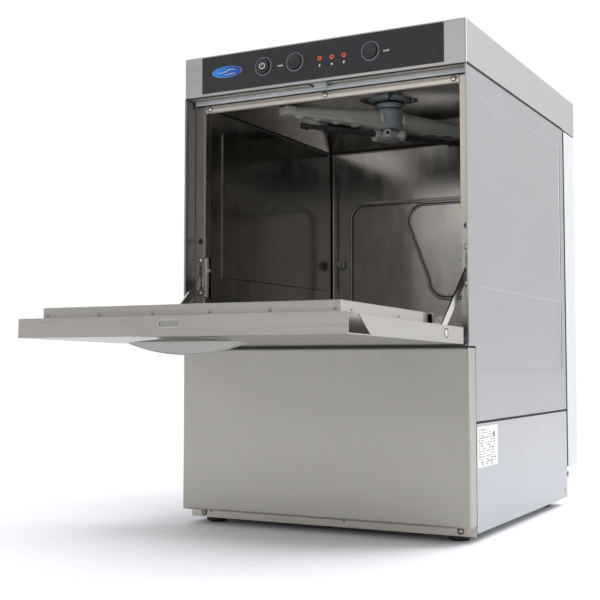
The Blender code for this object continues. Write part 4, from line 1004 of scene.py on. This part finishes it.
def makeSeamShade():
    # near-black strips of painted shade in the gaps where the sheets meet: under the hood, over the lower
    # cover, before the rear cover, along the back edges of the pressed panels, at the rear fitting, and above
    # the front panel
    shadeStrips = [((2.0, 488.0), (636.4, 640.2), 225.35), ((26.8, 488.3), (156.8, 159.8), 224.0),
             ((488.0, 494.3), (64.0, 637.6), 225.3), ((463.6, 465.2), (376.0, 603.0), 225.15),
             ((463.6, 465.2), (229.0, 340.0), 225.15), ((489.4, 493.6), (46.0, 55.0), 225.6)]
    deep = 1.2
    for side, name in ((-1, "left_seams"), (1, "right_seams")):
        shape = bmesh.new()
        for ys, zs, out in shadeStrips:
            sideBox(side, (out, out - deep), ys, zs, 0, shape)
        addPiece(name, shape, "seamShadow", smooth=False)
    low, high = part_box("front_panel")
    strip = roundedBox((low[0] + mm(3), frontY + mm(1.4), high[2] - mm(0.4)),
                       (high[0] - mm(3), frontY + mm(9), high[2] + mm(1.6)), 0)
    addPiece("panel_top_seal", strip, "seamShadow", smooth=False)


def makeLowerDetails():
    # screws and slots on the kick rail, with rings of painted shade round the rail screws and near-black
    # painted shade in the slots, and the screws that hold the lower covers and the rear cover
    rail = [(at(side * 202.0, 25.0, 15.0), -back, right) for side in (-1, 1)]
    repeatPart("kick_screws", panHead(3.4, 2.0), rail, "railSteel")
    repeatPart("kick_screw_seats", shadeRing(3.2, 4.6, 0.8), rail, "seamShadow")
    slot = roundedBox((-0.0011, -0.0026, -0.0004), (0.0011, 0.0026, 0.0003), 0.3)
    places = [(at(x, 25.0, 18.0), -back, right) for x in (-190, 30)]
    repeatPart("kick_slots", slot, places, "seamShadow")
    sides = [(at(side * 225.0, 478, 24), Vector((side, 0, 0)), up) for side in (-1, 1)]
    repeatPart("cover_screws", panHead(3.6, 2.0), sides, "brightSteel")
    rear = [(at(x, 567.0, z), back, right) for x in (-210, 210) for z in (90, 350, 610)]
    repeatPart("rear_screws", panHead(3.8, 2.2), rear, "brightSteel")


def makeLabel():
    # a plain white sticker with rows of plain bars and a few blocks, low on the right side
    label = {"front": 29.5, "back": 114.5, "foot": 98.0, "top": 152.5, "side": 225.0, "rows": 13,
             "pitch": 3.55, "shortRows": (0, 1, 6), "seed": 11}
    low, high, base, top = label["front"], label["back"], label["foot"], label["top"]

    def plate(y0, y1, z0, z1, shape, out=0.14, thick=0.03):
        corners = ((y0, z0), (y1, z0), (y1, z1), (y0, z1))
        loft([[at(label["side"] + d, y, z) for y, z in corners] for d in (out, out + thick)], shape)

    sheet, bars = bmesh.new(), bmesh.new()
    plate(low, high, base, top, sheet, 0.02, 0.12)
    addPiece("side_label", sheet, "labelPaper", smooth=False)
    random.seed(label["seed"])
    for row in range(label["rows"]):
        z = top - 5.5 - row * label["pitch"]
        start = low + 4.5
        stop = high - (30 if row in label["shortRows"] else 6)
        while start < stop - 6:
            width = min(random.uniform(3, 11), stop - start)
            if random.random() < 0.8:
                plate(start, start + width, z, z + random.choice((0.9, 1.2, 1.7)), bars)
            start += width + random.uniform(1.2, 5)
    for block in range(3):
        y = low + 16 + block * 19
        plate(y, y + 8.5, base + 2.4, base + 3.6, bars)
        for leg in (1.5, 5.5):
            plate(y + leg, y + leg + 1.5, base + 3.6, base + 8.0, bars)
    plate(high - 20, high - 12, top - 16, top - 9, bars)
    addPiece("side_label_bars", bars, "labelInk", smooth=False)


def makeRear():
    # a threaded water inlet and a domed cable gland at the back of the base
    thread = {"crest": 13.1, "root": 12.1, "pitch": 1.8, "turns": 9, "bore": 8.5, "length": 31.5, "body": 0.036}
    low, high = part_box("inlet_valve")
    body = roundedBox((low[0], low[1], low[2]), (high[0], low[1] + thread["body"], high[2]), 3)
    turns = []
    for k in reversed(range(thread["turns"])):
        turns += [(thread["root"], -1.9 - thread["pitch"] * k), (thread["crest"], -1.0 - thread["pitch"] * k)]
    profile = [(0, -thread["length"]), (thread["root"], -thread["length"])] + turns
    profile += [(12.0, -0.3), (thread["bore"], 0.0), (thread["bore"], -14.0), (0, -14.0)]
    turnedShape(profile, middleOf("inlet_valve", y=high[1]), back, 40, body)
    addPiece("inlet_valve_moulded", body, "blackPlastic", stands=("inlet_valve",),
             sharp=30)
    dome = [(0, -24.0), (8.4, -24.0), (8.4, -11.4), (10.3, -11.0), (10.3, -5.0), (9.2, -4.2), (9.0, -1.2),
            (7.4, -0.2), (4.0, 0.0), (3.6, -3.0), (0, -3.0)]
    gland = turnedShape(dome, middleOf("cable_gland", y=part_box("cable_gland")[1][1]), back, 32)
    addPiece("cable_gland_moulded", gland, "blackPlastic", stands=("cable_gland",),
             sharp=40)


for stage in (makeFeet, makeControls, makePrint, makeBadge, makeLintel, makeLatch, makeFrameDetails,
              makeChamber, makeArms, makeDoor, makeHandle, makeSeamShade, makeLowerDetails, makeLabel, makeRear):
    stage()
    print("made:", stage.__name__)


# the studio: a pale floor, soft panels and an even white surround

def makeStudio():
    # white behind the machine, a warm dimmer room in front of it, and a broad light high at the rear right
    studio = {"floor": "#F1F3F8", "behind": (1.0, 1.0, 1.0, 1), "infront": (0.47, 0.46, 0.445, 1),
              "backdrop": (1.02, 1.02, 1.02, 1), "sun": 2.1, "spread": 40.0, "from": (0.55, 0.75, 1.0),
              "aim": (0, 0, 0.35)}
    floor = bmesh.new()
    bmesh.ops.create_grid(floor, x_segments=1, y_segments=1, size=14.0)
    mesh = bpy.data.meshes.new("studio_floor")
    floor.to_mesh(mesh)
    floor.free()
    piece = bpy.data.objects.new("studio_floor", mesh)
    scene.collection.objects.link(piece)
    mesh.materials.append(mouldedPlastic("mattPaintedFloor", studio["floor"], "#EEF0F5", 0.8, grit=3.0,
                                         bump=0.02))
    world = bpy.data.worlds.new("surround")
    scene.world = world
    world.use_nodes = True
    tree = world.node_tree
    shade = tree.nodes["Background"]
    facing = addNode(tree, "ShaderNodeTexCoord")
    parts = addNode(tree, "ShaderNodeSeparateXYZ", {0: facing.outputs["Generated"]})
    place = remap(tree, parts.outputs["Y"], 0.0, 1.0, -0.75, 0.35)
    ramp = mixColours(tree, place, studio["infront"], studio["behind"])
    path = addNode(tree, "ShaderNodeLightPath")
    clean = addNode(tree, "ShaderNodeMix", {0: path.outputs["Is Camera Ray"]}, data_type="RGBA")
    tree.links.new(ramp.outputs[0], clean.inputs[6])
    clean.inputs[7].default_value = studio["backdrop"]
    tree.links.new(clean.outputs[2], shade.inputs["Color"])
    # one lamp lights only the floor and is shaded only by the base, for a short soft contact shadow
    sun = bpy.data.lights.new("floor_light", "SUN")
    sun.energy, sun.angle = studio["sun"], math.radians(studio["spread"])
    lamp = bpy.data.objects.new("floor_light", sun)
    scene.collection.objects.link(lamp)
    lamp.rotation_euler = Vector(studio["from"]).to_track_quat("Z", "Y").to_euler()
    lit, shading = bpy.data.collections.new("lit_floor"), bpy.data.collections.new("shading_base")
    lit.objects.link(piece)
    for name in ("front_panel", "kick_rail", "base_frame", "left_lower_cover", "right_lower_cover",
                 "rear_cover"):
        shading.objects.link(nodes[name])
    lamp.light_linking.receiver_collection = lit
    lamp.light_linking.blocker_collection = shading
    panels = (("left_panel", (-2.6, -1.9, 1.2), 1.2, 1.6, 3, (1.0, 0.97, 0.92)),
              ("front_panel", (-0.7, -2.8, 1.25), 1.1, 0.9, 3.4, (1.0, 0.98, 0.94)),
              ("right_panel", (2.8, 1.3, 1.3), 1.8, 1.8, 16, (1.0, 1.0, 1.0)),
              ("rear_panel", (2.3, 1.6, 2.6), 1.6, 1.6, 14, (1.0, 1.0, 1.0)))
    for name, place, wide, tall, power, tint in panels:
        light = bpy.data.lights.new(name, "AREA")
        light.shape, light.size, light.size_y, light.energy, light.color = "RECTANGLE", wide, tall, power, tint
        lamp = bpy.data.objects.new(name, light)
        scene.collection.objects.link(lamp)
        lamp.location = place
        lamp.rotation_euler = (Vector(studio["aim"]) - Vector(place)).to_track_quat("-Z", "Y").to_euler()
        lamp.visible_camera = False


def makeCamera():
    shot = {"lens": 66.4, "sensor": 36.0, "yaw": 28.038, "pitch": 3.689, "place": (0.7131, -1.3868, 0.2377),
            "shift": (-0.001, -0.014), "near": 0.05}
    data = bpy.data.cameras.new("studio_camera")
    camera = bpy.data.objects.new("studio_camera", data)
    scene.collection.objects.link(camera)
    data.lens, data.sensor_width = shot["lens"], shot["sensor"]
    data.shift_x, data.shift_y = shot["shift"]
    data.clip_start = shot["near"]
    yaw, pitch = math.radians(shot["yaw"]), math.radians(shot["pitch"])
    ahead = Vector((-math.sin(yaw) * math.cos(pitch), math.cos(yaw) * math.cos(pitch), math.sin(pitch)))
    camera.location = Vector(shot["place"]) + Vector((0, frontY, 0))
    camera.rotation_euler = ahead.to_track_quat("-Z", "Y").to_euler()
    scene.camera = camera


makeStudio()
makeCamera()
scene.view_settings.view_transform = "Standard"
print("studio ready")
